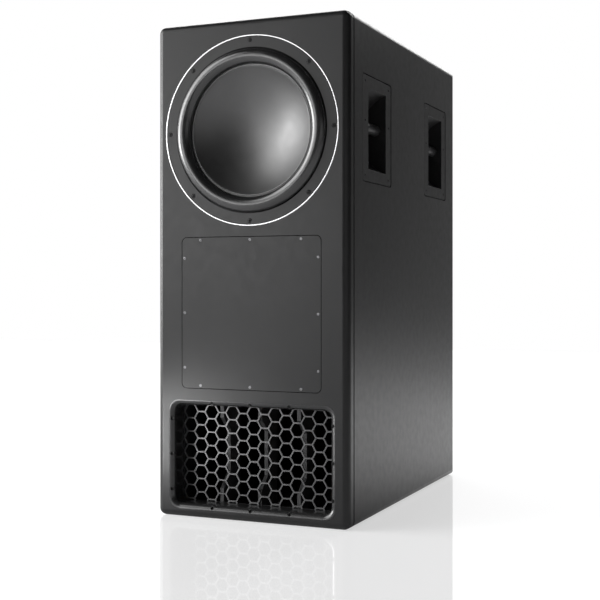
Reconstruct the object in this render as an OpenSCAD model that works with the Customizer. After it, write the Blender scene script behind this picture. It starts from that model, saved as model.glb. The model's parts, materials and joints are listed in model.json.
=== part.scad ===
// Floor-standing 15 inch subwoofer: slot-ported cabinet, driver, carrying handles and rear amplifier.
// Frame: origin at the middle of the base, +Z up, the front faces -Y, +X is the right side from the front.
// Depths in the front parts are measured back from the baffle's front face.

/* [Cabinet] */
// Width across the sides
cabinet_w = 440; // [436:1:500]
// Depth from the baffle's front face to the back edges
cabinet_d = 775; // [765:1:850]
// Height
cabinet_h = 1050; // [1040:1:1150]
// Rounding of every outer edge
edge_r = 15; // [8:0.5:18]
// Thickness of the side, top, bottom and back panels
panel_t = 22; // [20:0.5:25]
// Thickness of the front baffle
baffle_t = 27.5; // [25:0.5:34]
// Width of the shadow groove behind the baffle
groove_w = 5; // [3:0.5:8]
// Depth of the shadow groove
groove_depth = 3; // [1:0.5:5]
// How far the back panel sits in from the back edges
back_inset = 28; // [27:0.5:40]
// Thickness of the window brace and the duct shelf
brace_t = 18; // [15:0.5:22]
// Thickness of the damping foam
foam_t = 20; // [10:1:30]

/* [Driver] */
// Distance from the cabinet's sides in to the bright trim ring
driver_side = 20.9; // [18:0.1:24]
// Distance from the cabinet's top down to the trim ring
driver_top = 34.4; // [24:0.1:40]
// Width of the trim ring's face
trim_w = 2.8; // [2:0.1:4]
// Distance from the trim ring's rim in to the flange screws
driver_screw_in = 11.1; // [10:0.1:13]
// Distance from the trim ring's rim in to the clamp ring's bore
clamp_in = 26.1; // [22:0.1:27]
// Radius of the roll's half circle
roll_r = 17.3; // [16:0.1:17.5]
// Thickness of the surround
surround_t = 1.5; // [1:0.1:2]
// Width of the flat lip between the roll and the cone
cone_edge = 4.2; // [3:0.1:6]
// Depth of the dish below its lip
dish_depth = 53; // [45:0.5:56]
// Thickness of the cone
cone_t = 2.5; // [1.5:0.1:3]
// Travel of the cone each way
cone_travel = 12; // [4:0.5:14]
// Inner radius of the voice coil former
former_r = 49.9; // [45:0.1:52]
// Depth of the spider's shelf on the basket
spider_depth = 86; // [84:0.5:90]
// Outer radius of the magnet
magnet_r = 110; // [106:0.5:125]
// Thickness of the magnet
magnet_t = 40; // [30:0.5:50]

/* [Access panel] */
// Distance from the cabinet's sides in to the access panel
access_side = 60; // [50:0.5:70]
// Distance from the vent's frame up to the panel
access_below = 25.3; // [15:0.1:30]
// Distance from the panel up to the trim ring
access_above = 22.1; // [15:0.1:30]
// Thickness of the panel
access_t = 10; // [8:0.5:12]
// Corner radius of the panel
access_corner_r = 11; // [6:0.5:14]
// Gap around the panel
access_gap = 0.9; // [0.5:0.1:1.5]

/* [Vent] */
// Distance from the cabinet's sides in to the mouth
vent_side = 40; // [39:0.5:50]
// Height of the mouth inside the frame
vent_h = 210; // [200:1:212]
// Height of the mouth's sill above the duct's floor
vent_sill = 7; // [6:0.5:11]
// Width of the flared lip
lip_w = 11; // [9:0.5:11]
// Corner radius of the mouth
vent_corner_r = 16; // [10:0.5:20]
// Depth of the grille's front face
grille_depth = 46; // [36:0.5:50]
// Thickness of the grille
grille_t = 4; // [3:0.5:6]
// Distance between neighbouring cells, flat to flat
cell_pitch = 29; // [26:0.5:32]
// Width of the webs between the cells
cell_web = 3; // [2:0.5:4]
// Thickness of the vanes behind the grille
vane_t = 9; // [6:0.5:12]
// Distance between vanes
vane_spacing = 90; // [80:1:100]

/* [Handles] */
// Distance from the cabinet's top down to the handles' middle
handle_drop = 227.5; // [215:0.5:240]
// Distance between the front and rear handles
handle_spread = 430; // [410:1:440]
// Width of a handle plate
plate_w = 180; // [174:1:190]
// Height of a handle plate
plate_h = 222; // [216:1:230]
// Width of the hand opening
grip_w = 112; // [100:1:116]
// Height of the hand opening
grip_h = 172; // [160:1:176]
// Depth of the scoop behind the opening
scoop_depth = 60; // [52:1:64]
// Diameter of the grip bar
bar_d = 24; // [18:0.5:26]
// Distance from the side face to the bar's surface
bar_inset = 13.5; // [8:0.5:15]
// Height of the bar above the opening's middle
bar_rise = 10; // [0:0.5:14]

/* [Amplifier] */
// Width of the amplifier plate
amp_w = 260; // [256:1:280]
// Height of the amplifier plate
amp_h = 380; // [376:1:400]
// Height of its middle
amp_z = 510; // [505:1:540]
// Thickness of the plate
amp_t = 4; // [3:0.5:5]
// Depth of the cover inside the cabinet
amp_box_depth = 100; // [85:1:110]
// Height of the heat sink's fins above the plate
fin_h = 18; // [10:0.5:20]
// Radius of the control knobs
knob_r = 9; // [7:0.5:12]
// Tilt of the mains switch's rocker from its middle
rocker_tilt = 10; // [6:0.5:11]

/* [Hidden] */
$fn = 72;

// Clearances
eps = 0.01;              // a cut runs this far past the face it opens
cut = 1;                 // a cut through open air runs this far past the solid
screw_gap = 0.1;         // round a screw's shank and head
seat_gap = 0.3;          // between a fitted piece and the walls round it
bond_gap = 0.15;         // glue line
run_gap = 0.06;          // radial, between a turning shaft and its bore

// Planes of the cabinet
front_y = -cabinet_d / 2;
carcass_y = front_y + baffle_t;
back_y = cabinet_d / 2;
back_face_y = back_y - back_inset;
back_panel_y = back_face_y - panel_t;
side_x = cabinet_w / 2;
inner_x = side_x - panel_t;
mid_z = cabinet_h / 2;

// Driver, across its face
trim_r = side_x - driver_side;
driver_z = cabinet_h - driver_top - trim_r;
driver_screw_circle_r = trim_r - driver_screw_in;
clamp_inner_r = trim_r - clamp_in;
roll_play = 0.7;
roll_mid_r = clamp_inner_r - roll_play - roll_r;
cone_r = roll_mid_r - roll_r - cone_edge;

// Driver: depths of its layers behind the baffle's front face
trim_proud = 0.4;
clamp_depth = 0.3;
rim_depth = 3.5;
flange_depth = rim_depth + surround_t;
flange_t = 5;
gasket_t = 2;
gasket_depth = flange_depth + flange_t;
rebate_depth = gasket_depth + gasket_t;
trim_inner_r = trim_r - trim_w;
flange_r = trim_inner_r - seat_gap;
rebate_r = trim_r + seat_gap;
flange_w = 18;
cutout_r = flange_r - flange_w;
rim_w = 8;
rim_r = roll_mid_r + roll_r + rim_w;
basket_lip = 3;
basket_inner_r = clamp_inner_r - basket_lip;
lip_t = 2;
lip_r = roll_mid_r - roll_r + surround_t;
sphere_r = (cone_r * cone_r + dish_depth * dish_depth) / (2 * dish_depth);
sphere_z = flange_depth + dish_depth - sphere_r;
former_t = 0.6;
former_top = sphere_z + sqrt(pow(sphere_r + cone_t, 2) - pow(former_r, 2)) + bond_gap;
basket_ring_t = 18;
top_plate_depth = spider_depth + basket_ring_t;
top_plate_t = 12;
magnet_depth = top_plate_depth + top_plate_t;
back_plate_depth = magnet_depth + magnet_t;
back_plate_t = 12;
coil_h = 26;
coil_t = 1.8;
coil_gap = 0.8;
coil_depth = top_plate_depth + top_plate_t / 2 - coil_h / 2;
former_end = coil_depth + coil_h + 2;
former_outer_r = former_r + former_t;
coil_inner_r = former_outer_r + 0.1;
coil_outer_r = coil_inner_r + coil_t;
pole_r = former_r - coil_gap;
gap_outer_r = coil_outer_r + coil_gap;
plate_r = magnet_r - 5;
ring_outer_r = 106;
ring_inner_r = 80;
spoke_w = 20;
driver_screw_len = 26;
driver_screw_r = 2.5;
driver_head_r = 4.7;
driver_head_t = 3.2;
terminal_w = 30;
terminal_h = 14;
terminal_t = 10;
terminal_depth = spider_depth + 2;
lead_r = 0.8;
lead_x = 8;
cable_r = 4;
cable_x = 60;

// Vent
duct_floor = panel_t;
duct_head = 23;
duct_h = vent_sill + vent_h + duct_head;
shelf_z = duct_floor + duct_h;
shelf_gap = 87;
vent_w = cabinet_w - 2 * vent_side;
vent_z = duct_floor + vent_sill + vent_h / 2;
frame_wall = 2.5;
frame_w = vent_w + 2 * lip_w;
frame_h = vent_h + 2 * lip_w;
frame_corner_r = vent_corner_r + 6;
tube_w = vent_w + 2 * frame_wall;
tube_h = vent_h + 2 * frame_wall;
frame_end = grille_depth + grille_t;
grille_lap = 1.2;
grille_rim = grille_lap - seat_gap;
cell_r = (cell_pitch - cell_web) / sqrt(3);
column_pitch = cell_pitch * sqrt(3) / 2;
cell_columns = 16;
cell_rows = 4;
vane_len = 80;
vane_sweep = 32;
vane_flat = 76;
vane_recess = 47;
vent_screw_r = 1.5;
vent_head_r = 4;
vent_head_t = 3.5;
vent_head_depth = 4;
vent_screw_len = 16;
vent_screw_out = 5;
vent_screw_top_x = 88.7;
vent_screw_side_z = 75.5;

// Access panel: it fills the space between the vent's frame and the driver
access_w = cabinet_w - 2 * access_side;
access_low = vent_z + frame_h / 2 + access_below;
access_high = driver_z - trim_r - access_above;
access_h = access_high - access_low;
access_z = (access_low + access_high) / 2;
access_ledge = 15;
access_screw_edge = 6.3;
access_screw_corner = 44;
access_gasket_t = 2;
access_screw_r = 1.75;
access_head_r = 3;
access_head_t = 2.2;
access_screw_len = 20;

// Handles
handle_z = cabinet_h - handle_drop;
cup_wall = 3;
plate_t = 4;
plate_sunk = 0.5;
plate_shadow = 2;
plate_corner_r = 8;
scoop_r = (pow(grip_h / 2, 2) + pow(scoop_depth, 2)) / (2 * scoop_depth);
scoop_x = side_x - scoop_depth + scoop_r;
recess_depth = plate_t + plate_sunk;
cup_half_h = sqrt(pow(scoop_r + cup_wall, 2) - pow(scoop_r - scoop_depth, 2));
bar_x = side_x - bar_inset - bar_d / 2;
bar_z = handle_z + bar_rise;
tenon_r = 8;
handle_screw_y = (plate_w + grip_w) / 4 + 1;
handle_screw_edge = 12.3;
handle_screw_z = [plate_h / 2 - handle_screw_edge, 16, handle_screw_edge - plate_h / 2];
handle_screw_r = 2;
handle_head_r = 4;
handle_head_t = 2.2;
handle_screw_len = 16;

// Foot inserts
insert_r = 6.5;
insert_bore_r = 4;
insert_len = 16;
insert_side = 55;
insert_end = 62.5;
insert_x = side_x - insert_side;
insert_y = cabinet_d / 2 - insert_end;

// Amplifier: places on the plate are measured from its middle
amp_gasket_t = 2;
amp_in_y = back_face_y + amp_gasket_t;
amp_out_y = amp_in_y + amp_t;
amp_land = 15;
amp_hole_w = amp_w - 2 * amp_land;
amp_hole_h = amp_h - 2 * amp_land;
amp_cover_gap = 2;
amp_cover_w = amp_hole_w - 2 * amp_cover_gap;
amp_cover_h = amp_hole_h - 2 * amp_cover_gap;
amp_cover_t = 2;
amp_screw_x = amp_w / 2 - amp_land / 2;
amp_screw_z = amp_h / 2 - amp_land / 2;
amp_screw_r = 2;
amp_head_r = 4;
amp_head_t = 2.4;
amp_screw_len = 18;
sink_side_gap = 10.5;
sink_top_gap = 5.5;
sink_low = 7;
sink_w = 2 * (amp_screw_x - amp_head_r - sink_side_gap);
sink_h = amp_screw_z - amp_head_r - sink_top_gap - sink_low;
sink_z = sink_low + sink_h / 2;
sink_base_t = 4;
fin_t = 2.5;
fin_pitch = 12;
toroid_r = 45;
toroid_hole_r = 12;
toroid_t = 40;
toroid_gap = 12;
toroid_x = toroid_gap + toroid_r + amp_cover_t - amp_cover_w / 2;
board_side_gap = 11;
board_top_gap = 8;
board_low = 5;
board_left = toroid_x + toroid_r + board_side_gap + 2;
board_w = amp_cover_w / 2 - amp_cover_t - board_side_gap - board_left;
board_h = amp_cover_h / 2 - board_top_gap - board_low;
board_x = board_left + board_w / 2;
board_z = board_low + board_h / 2;
board_t = 1.6;
cable_drop = 29;
cable_z = amp_z + amp_cover_h / 2 - cable_drop;
cable_low_z = driver_z - ring_outer_r - terminal_h - 42.5;
standoff_h = 14;
standoff_r = 3.5;
board_y = amp_in_y - standoff_h - board_t;
cap_r = 12.5;
cap_h = 40;
socket_side = 50;
socket_low = 45;
socket_step = 60;
power_x = socket_side - amp_w / 2;
inlet_z = socket_low - amp_h / 2;
inlet_flange_w = 24;
inlet_flange_h = 10;
inlet_w = 24.4;
inlet_h = 16.6;
inlet_depth = 17;
pin_len = 12;
switch_z = inlet_z + socket_step;
switch_w = 22;
switch_h = 30;
rocker_w = 15.4;
rocker_r = 12;
rocker_well = rocker_r + 0.5;
rocker_pin_r = 1.5;
rocker_y = amp_out_y + 0.5;
bezel_t = 2;
xlr_x = 5;
xlr_in_z = inlet_z + socket_step;
xlr_out_z = inlet_z;
xlr_r = 11.8;
xlr_w = 26;
xlr_h = 31;
xlr_t = 2.5;
xlr_body = 22;
xlr_pin_circle = 4.6;
latch_w = 7.6;
latch_h = 3.2;
latch_z = 12.2;
latch_proud = 2.5;
latch_travel = 2;
latch_slot = 9;
knob_x = amp_w / 2 - socket_side;
knob_rise = 15;
knob_step = 50;
crossover_z = inlet_z + knob_rise;
level_z = crossover_z + knob_step;
knob_h = 13;
knob_lift = 1.4;
shaft_r = 3;
bush_r = 4.2;
pot_r = 8.5;
pot_t = 11;
led_drop = 13;
led_z = inlet_z - led_drop;
led_r = 2.5;

// ---- Helpers ----

// A rectangle with round corners, centred
module rrect(w, h, r) {
    square([w - 2 * r, h], center = true);
    square([w, h - 2 * r], center = true);
    for (x = [-1, 1], y = [-1, 1]) translate([x * (w / 2 - r), y * (h / 2 - r)]) circle(r);
}

// Extrudes an outline drawn in X and Z from y to y + len
module along_y(y, len) translate([0, y + len, 0]) rotate([90, 0, 0]) linear_extrude(len) children();

// Extrudes an outline drawn in Y and Z from x to x + len
module along_x(x, len) translate([x, 0, 0]) rotate([90, 0, 90]) linear_extrude(len) children();

// Stands a solid drawn along +Z on a point, so that it runs towards the back
module facing_back(x, y, z) translate([x, y, z]) rotate([-90, 0, 0]) children();

// Stands a solid drawn along +Z on a point, so that it runs towards the front
module facing_front(x, y, z) translate([x, y, z]) rotate([90, 0, 0]) children();

// Places in the driver: Z runs back from the baffle's front face
module in_driver() facing_back(0, front_y, driver_z) children();

// A ring from depth d0 to d1
module ring(inner_r, outer_r, d0, d1) translate([0, 0, d0]) difference() {
    cylinder(h = d1 - d0, r = outer_r);
    translate([0, 0, -cut]) cylinder(h = d1 - d0 + 2 * cut, r = inner_r);
}

// A screw with a hexagon socket: its head's face is at 0 and it runs along +Z
module screw(head_r, head_t, shank_r, len) difference() {
    union() {
        cylinder(h = head_t, r = head_r);
        cylinder(h = head_t + len, r = shank_r);
    }
    translate([0, 0, -eps]) cylinder(h = head_t * 0.7, r = head_r * 0.5, $fn = 6);
}

// The space that a screw needs: a shank hole, and a head pocket that is open in front
module screw_hole(head_r, head_t, shank_r, len) {
    cylinder(h = head_t + len + cut, r = shank_r + screw_gap);
    translate([0, 0, -cut * 10]) cylinder(h = cut * 10 + head_t, r = head_r + screw_gap);
}

// A rod with round joints through a list of points
module rod_path(points, r) {
    for (i = [0:len(points) - 2]) {
        v = points[i + 1] - points[i];
        translate(points[i])
            rotate([0, acos(v[2] / norm(v)), atan2(v[1], v[0])])
                cylinder(h = norm(v), r = r);
    }
    for (i = [1:len(points) - 2]) translate(points[i]) sphere(r * 1.04);
}

// ---- Cabinet ----

// The cabinet's outer form, with every edge rounded
module outer_form() intersection() {
    along_y(front_y, cabinet_d) translate([0, mid_z]) rrect(cabinet_w, cabinet_h, edge_r);
    along_x(-side_x, cabinet_w) translate([0, mid_z]) rrect(cabinet_d, cabinet_h, edge_r);
    linear_extrude(cabinet_h) rrect(cabinet_w, cabinet_d, edge_r);
}

// The shadow groove round the front of the carcass
module groove_cut() along_y(carcass_y - cut, groove_w + cut) translate([0, mid_z]) difference() {
    square([cabinet_w + 2 * cut, cabinet_h + 2 * cut], center = true);
    rrect(cabinet_w - 2 * groove_depth, cabinet_h - 2 * groove_depth, edge_r - groove_depth);
}

module side_panel() color("dimgray") difference() {
    intersection() {
        outer_form();
        translate([inner_x, carcass_y, 0]) cube([panel_t, cabinet_d - baffle_t, cabinet_h]);
    }
    groove_cut();
    for (row = [-1, 1]) at_handle(row) {
        along_x(side_x - recess_depth, recess_depth + cut)
            rrect(plate_w + 2 * plate_shadow, plate_h + 2 * plate_shadow, plate_corner_r);
        along_x(inner_x - cut, panel_t + 2 * cut)
            square([grip_w + 2 * cup_wall + 2 * seat_gap, 2 * cup_half_h + 2 * seat_gap], center = true);
        handle_screw_places() screw_hole(handle_head_r, handle_head_t, handle_screw_r, handle_screw_len);
    }
}

module side_panel_left() mirror([1, 0, 0]) side_panel();

module side_panel_right() side_panel();

// A board between the sides, from z to z + panel_t
module cross_board(z) difference() {
    intersection() {
        along_x(-inner_x, 2 * inner_x) translate([0, mid_z]) rrect(cabinet_d, cabinet_h, edge_r);
        translate([-inner_x, carcass_y, z]) cube([2 * inner_x, cabinet_d - baffle_t, panel_t]);
    }
    groove_cut();
}

module top_panel() color("dimgray") cross_board(cabinet_h - panel_t);

module insert_places() for (x = [-1, 1], y = [-1, 1]) translate([x * insert_x, y * insert_y, 0]) children();

module bottom_panel() color("dimgray") difference() {
    cross_board(0);
    insert_places() translate([0, 0, -cut]) cylinder(h = insert_len + cut, r = insert_r + screw_gap);
}

module foot_inserts() color("goldenrod") insert_places() difference() {
    cylinder(h = insert_len, r = insert_r);
    translate([0, 0, -cut]) cylinder(h = insert_len + 2 * cut, r = insert_bore_r);
}

module back_panel() color("dimgray") difference() {
    translate([-inner_x, back_panel_y, panel_t]) cube([2 * inner_x, panel_t, cabinet_h - 2 * panel_t]);
    along_y(back_panel_y - cut, panel_t + 2 * cut)
        translate([0, amp_z]) square([amp_hole_w, amp_hole_h], center = true);
    amp_screw_places() screw_hole(amp_head_r, amp_head_t, amp_screw_r, amp_screw_len);
}

module front_baffle() color("dimgray") difference() {
    intersection() {
        outer_form();
        translate([-side_x, front_y, 0]) cube([cabinet_w, baffle_t, cabinet_h]);
    }
    in_driver() {
        translate([0, 0, -cut]) cylinder(h = rebate_depth + cut, r = rebate_r);
        cylinder(h = baffle_t + cut, r = cutout_r);
        driver_screw_places() screw_hole(driver_head_r, driver_head_t, driver_screw_r, driver_screw_len);
    }
    along_y(front_y - cut, access_t + access_gasket_t + cut)
        access_outline(access_gap, access_corner_r + access_gap);
    along_y(front_y - cut, baffle_t + 2 * cut)
        access_outline(-access_ledge, access_corner_r);
    access_screw_places() screw_hole(access_head_r, access_head_t, access_screw_r, access_screw_len);
    along_y(front_y - cut, lip_w + cut)
        vent_outline(frame_w + 2 * seat_gap, frame_h + 2 * seat_gap, frame_corner_r);
    along_y(front_y - cut, baffle_t + 2 * cut)
        vent_outline(tube_w + 2 * seat_gap, tube_h + 2 * seat_gap, vent_corner_r + frame_wall);
    vent_screw_places() screw_hole(vent_head_r, vent_head_t, vent_screw_r, vent_screw_len);
}

// The duct's ceiling: it stops short of the back, so that the air can turn into the duct
module duct_shelf() color("burlywood")
    translate([-inner_x, carcass_y, shelf_z])
        cube([2 * inner_x, back_panel_y - shelf_gap - carcass_y, brace_t]);

// An upright frame across the middle, with four windows and a hole for the driver's cable
module window_brace() color("burlywood") {
    z0 = shelf_z + brace_t;
    z1 = cabinet_h - panel_t;
    rib = 40;
    window_w = inner_x - rib * 0.7 - rib / 2;
    windows = [[z0 + rib, cable_z - rib / 2], [cable_z + rib / 2, z1 - rib]];
    difference() {
        translate([-inner_x, -brace_t / 2, z0]) cube([2 * inner_x, brace_t, z1 - z0]);
        for (x = [-1, 1], span = windows)
            along_y(-brace_t, 2 * brace_t)
                translate([x * (rib / 2 + window_w / 2), (span[0] + span[1]) / 2])
                    rrect(window_w, span[1] - span[0], rib / 2);
        facing_back(cable_x, -brace_t, cable_z) cylinder(h = 2 * brace_t, r = cable_r + seat_gap);
    }
}

// Foam sheets glued to the top, the upper back and the lower sides
module damping_foam() color("darkslategray") {
    top_z = cabinet_h - panel_t - foam_t;
    margin = 8;
    side_foam_z = shelf_z + brace_t + margin;
    side_foam_h = driver_z - rebate_r - foam_t - side_foam_z;
    front_len = -brace_t / 2 - carcass_y - 2 * margin;
    rear_len = back_panel_y - brace_t / 2 - 2 * margin;
    for (y = [carcass_y + margin, brace_t / 2 + margin])
        translate([-inner_x + margin, y, top_z])
            cube([2 * (inner_x - margin), y < 0 ? front_len : rear_len, foam_t]);
    translate([-inner_x + margin, back_panel_y - foam_t, amp_z + amp_h / 2 + margin])
        cube([2 * (inner_x - margin), foam_t, top_z - amp_z - amp_h / 2 - 2 * margin]);
    for (x = [-inner_x, inner_x - foam_t], y = [carcass_y + margin, brace_t / 2 + margin])
        translate([x, y, side_foam_z])
            cube([foam_t, y < 0 ? front_len : rear_len - 2 * foam_t, side_foam_h]);
}

// ---- Access panel ----

// The panel's outline, larger by grow on every side
module access_outline(grow, r) translate([0, access_z]) rrect(access_w + 2 * grow, access_h + 2 * grow, r);

module access_screw_places() {
    x1 = access_w / 2 - access_screw_edge;
    z1 = access_h / 2 - access_screw_edge;
    x0 = access_w / 2 - access_screw_corner;
    z0 = access_h / 2 - access_screw_corner;
    for (p = [[-x0, z1], [0, z1], [x0, z1], [-x0, -z1], [0, -z1], [x0, -z1],
              [-x1, z0], [-x1, 0], [-x1, -z0], [x1, z0], [x1, 0], [x1, -z0]])
        facing_back(p[0], front_y, access_z + p[1]) children();
}

module access_panel() color("dimgray") difference() {
    along_y(front_y, access_t) access_outline(0, access_corner_r);
    access_screw_places() screw_hole(access_head_r, access_head_t, access_screw_r, access_screw_len);
}

module access_gasket() color("black") difference() {
    along_y(front_y + access_t, access_gasket_t) difference() {
        access_outline(0, access_corner_r);
        access_outline(-access_ledge, access_corner_r);
    }
    access_screw_places() screw_hole(access_head_r, access_head_t, access_screw_r, access_screw_len);
}

module access_screws() color("silver")
    access_screw_places() screw(access_head_r, access_head_t, access_screw_r, access_screw_len);

// ---- Vent ----

module vent_outline(w, h, r) translate([0, vent_z]) rrect(w, h, r);

module vent_screw_places() {
    out_x = vent_w / 2 + vent_screw_out;
    out_z = vent_h / 2 + vent_screw_out;
    for (p = [[-vent_screw_top_x, out_z], [0, out_z], [vent_screw_top_x, out_z],
              [-vent_screw_top_x, -out_z], [0, -out_z], [vent_screw_top_x, -out_z],
              [-out_x, vent_screw_side_z], [-out_x, 0], [-out_x, -vent_screw_side_z],
              [out_x, vent_screw_side_z], [out_x, 0], [out_x, -vent_screw_side_z]])
        facing_back(p[0], front_y + vent_head_depth, vent_z + p[1]) children();
}

// The flared lip's cutter: straight bars along the four sides and a turned piece at each corner
module flare_cut() translate([0, front_y, vent_z]) {
    w = vent_w / 2;
    h = vent_h / 2;
    r = vent_corner_r;
    for (side = [0, 1]) rotate([0, side * 180, 0]) {
        // right-hand and left-hand walls
        translate([w, 0, -h + r]) linear_extrude(2 * (h - r)) flare_section();
        // top and bottom walls
        rotate([0, -90, 0]) translate([h, 0, -w + r]) linear_extrude(2 * (w - r)) flare_section();
    }
    for (x = [-1, 1], z = [-1, 1]) translate([x * (w - r), 0, z * (h - r)])
        rotate([-90, 0, 0]) rotate_extrude() intersection() {
            translate([r, 0]) rotate(90) mirror([0, 1]) flare_section();
            translate([0, -2 * cut]) square([r + lip_w + cut, lip_w + 2 * cut]);
        }
}

// The flare's section: X runs outwards from the mouth's wall and Y runs back from the front face
module flare_section() difference() {
    translate([-cut, -cut]) square([lip_w + cut, lip_w + cut]);
    translate([lip_w, lip_w]) circle(lip_w);
}

module vent_frame() color("dimgray") difference() {
    union() {
        along_y(front_y, lip_w) vent_outline(frame_w, frame_h, frame_corner_r);
        along_y(front_y, frame_end) vent_outline(tube_w, tube_h, vent_corner_r + frame_wall);
    }
    along_y(front_y - cut, frame_end + 2 * cut) vent_outline(vent_w, vent_h, vent_corner_r);
    along_y(front_y + grille_depth, grille_t + cut)
        vent_outline(vent_w + 2 * grille_lap, vent_h + 2 * grille_lap, vent_corner_r + grille_lap);
    flare_cut();
    vent_screw_places() screw_hole(vent_head_r, vent_head_t, vent_screw_r, vent_screw_len);
}

// The cells: every other column is raised by half a pitch
module grille_cells() for (c = [1:cell_columns], row = [-cell_rows:cell_rows])
    translate([(c - (cell_columns + 1) / 2) * column_pitch, (row + (c % 2) / 2) * cell_pitch])
        circle(cell_r, $fn = 6);

module vent_grille() color("gray") {
    rim_w = vent_w + 2 * grille_lap - 2 * seat_gap;
    rim_h = vent_h + 2 * grille_lap - 2 * seat_gap;
    along_y(front_y + grille_depth, grille_t) translate([0, vent_z]) difference() {
        rrect(rim_w, rim_h, vent_corner_r + grille_lap);
        intersection() {
            grille_cells();
            rrect(rim_w - 2 * grille_rim, rim_h - 2 * grille_rim, vent_corner_r);
        }
    }
}

// Three upright fins in the duct, their front edges swept back in the middle
module vent_vanes() color("black") {
    y0 = front_y + grille_depth + grille_t;
    top = duct_floor + duct_h;
    for (i = [-1:1])
        along_x(i * vane_spacing - vane_t / 2, vane_t) polygon([
            [y0, duct_floor], [y0 + vane_len, duct_floor], [y0 + vane_len, top], [y0, top],
            [y0, vent_z + vane_flat], [y0 + vane_sweep, vent_z + vane_recess],
            [y0 + vane_sweep, vent_z - vane_recess], [y0, vent_z - vane_flat]]);
}

module vent_screws() color("black")
    vent_screw_places() screw(vent_head_r, vent_head_t, vent_screw_r, vent_screw_len);

// ---- Handles ----

// Moves a handle drawn on the right side at the origin to its row: -1 front, 1 rear
module at_handle(row) translate([0, row * handle_spread / 2, handle_z]) children();

module on_side(side) if (side < 0) mirror([1, 0, 0]) children(); else children();

module handle_screw_places() for (y = [-1, 1], z = handle_screw_z)
    translate([side_x - plate_sunk, y * handle_screw_y, z]) rotate([0, -90, 0]) children();

// A cylinder along Y round the scoop's axis
module scoop_cylinder(r, len)
    translate([scoop_x, len / 2, 0]) rotate([90, 0, 0]) cylinder(h = len, r = r, $fn = 120);

module handle_cup(side, row) color("dimgray") on_side(side) at_handle(row) difference() {
    union() {
        along_x(side_x - recess_depth, plate_t) rrect(plate_w, plate_h, plate_corner_r);
        intersection() {
            scoop_cylinder(scoop_r + cup_wall, grip_w + 2 * cup_wall);
            translate([0, -plate_w / 2, -plate_h / 2])
                cube([side_x - plate_sunk - plate_t / 2, plate_w, plate_h]);
        }
    }
    scoop_cylinder(scoop_r, grip_w);
    bar_cylinder(tenon_r + screw_gap, grip_w + 4 * cup_wall);
    handle_screw_places() screw_hole(handle_head_r, handle_head_t, handle_screw_r, handle_screw_len);
}

// A cylinder along Y on the grip bar's axis, centred
module bar_cylinder(r, len) translate([bar_x, len / 2, bar_rise]) rotate([90, 0, 0]) cylinder(h = len, r = r);

module handle_bar(side, row) color("gray") on_side(side) at_handle(row) {
    bar_cylinder(bar_d / 2, grip_w);
    bar_cylinder(tenon_r, grip_w + 2 * cup_wall);
}

module handle_screws() color("black") for (side = [-1, 1], row = [-1, 1]) on_side(side) at_handle(row)
    handle_screw_places() screw(handle_head_r, handle_head_t, handle_screw_r, handle_screw_len);

// ---- Driver ----

module driver_screw_places() for (i = [0:7]) rotate(i * 45)
    translate([driver_screw_circle_r, 0, clamp_depth]) children();

module driver_basket() color("dimgray") in_driver() difference() {
    union() {
        ring(basket_inner_r, flange_r, flange_depth, gasket_depth);
        ring(ring_inner_r, ring_outer_r, spider_depth, top_plate_depth);
        intersection() {
            rotate_extrude() polygon([[cutout_r - 2, gasket_depth - 2], [basket_inner_r, gasket_depth - 2],
                [ring_outer_r - 9, spider_depth + 1], [ring_outer_r - 2, spider_depth + 1]]);
            for (i = [0:3]) rotate(i * 45 + 22.5) translate([-cutout_r, -spoke_w / 2, 0])
                cube([2 * cutout_r, spoke_w, top_plate_depth]);
        }
    }
    driver_screw_places() screw_hole(driver_head_r, driver_head_t, driver_screw_r, driver_screw_len);
}

module driver_gasket() color("black") in_driver() difference() {
    ring(cutout_r, trim_r, gasket_depth, rebate_depth);
    driver_screw_places() screw_hole(driver_head_r, driver_head_t, driver_screw_r, driver_screw_len);
}

// Clamps the surround's outer rim to the basket
module driver_clamp_ring() color("dimgray") in_driver() difference() {
    ring(clamp_inner_r, flange_r, clamp_depth, flange_depth);
    translate([0, 0, rim_depth]) cylinder(h = flange_depth, r = rim_r + seat_gap);
    driver_screw_places() screw_hole(driver_head_r, driver_head_t, driver_screw_r, driver_screw_len);
}

module driver_trim_ring() color("white") in_driver() ring(trim_inner_r, trim_r, -trim_proud, gasket_depth);

module driver_screws() color("black") in_driver()
    driver_screw_places() screw(driver_head_r, driver_head_t, driver_screw_r, driver_screw_len);

// A half roll with a flat rim on each side
module surround() color("black") in_driver() rotate_extrude() {
    intersection() {
        translate([roll_mid_r, rim_depth + surround_t / 2]) difference() {
            circle(roll_r);
            circle(roll_r - surround_t);
        }
        translate([cone_r, -2 * roll_r]) square([rim_r - cone_r, 2 * roll_r + rim_depth + surround_t / 2]);
    }
    translate([roll_mid_r + roll_r - surround_t, rim_depth])
        square([rim_r - roll_mid_r - roll_r + surround_t, surround_t]);
    translate([cone_r + 0.5, rim_depth]) square([lip_r - cone_r - 0.5, surround_t]);
}

// A dish with no dust cap, and a flat lip under the surround
module cone() color("dimgray") in_driver() {
    difference() {
        intersection() {
            cylinder(h = 2 * dish_depth, r = cone_r + 0.5);
            translate([0, 0, sphere_z]) sphere(sphere_r + cone_t, $fn = 144);
        }
        translate([0, 0, sphere_z]) sphere(sphere_r, $fn = 144);
        translate([0, 0, -cut]) cylinder(h = flange_depth + cut, r = 2 * cone_r);
    }
    ring(cone_r - 1, lip_r, flange_depth, flange_depth + lip_t);
}

module coil_former() color("peru") in_driver() ring(former_r, former_outer_r, former_top, former_end);

module voice_coil() color("darkgoldenrod") in_driver()
    ring(coil_inner_r, coil_outer_r, coil_depth, coil_depth + coil_h);

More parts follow.
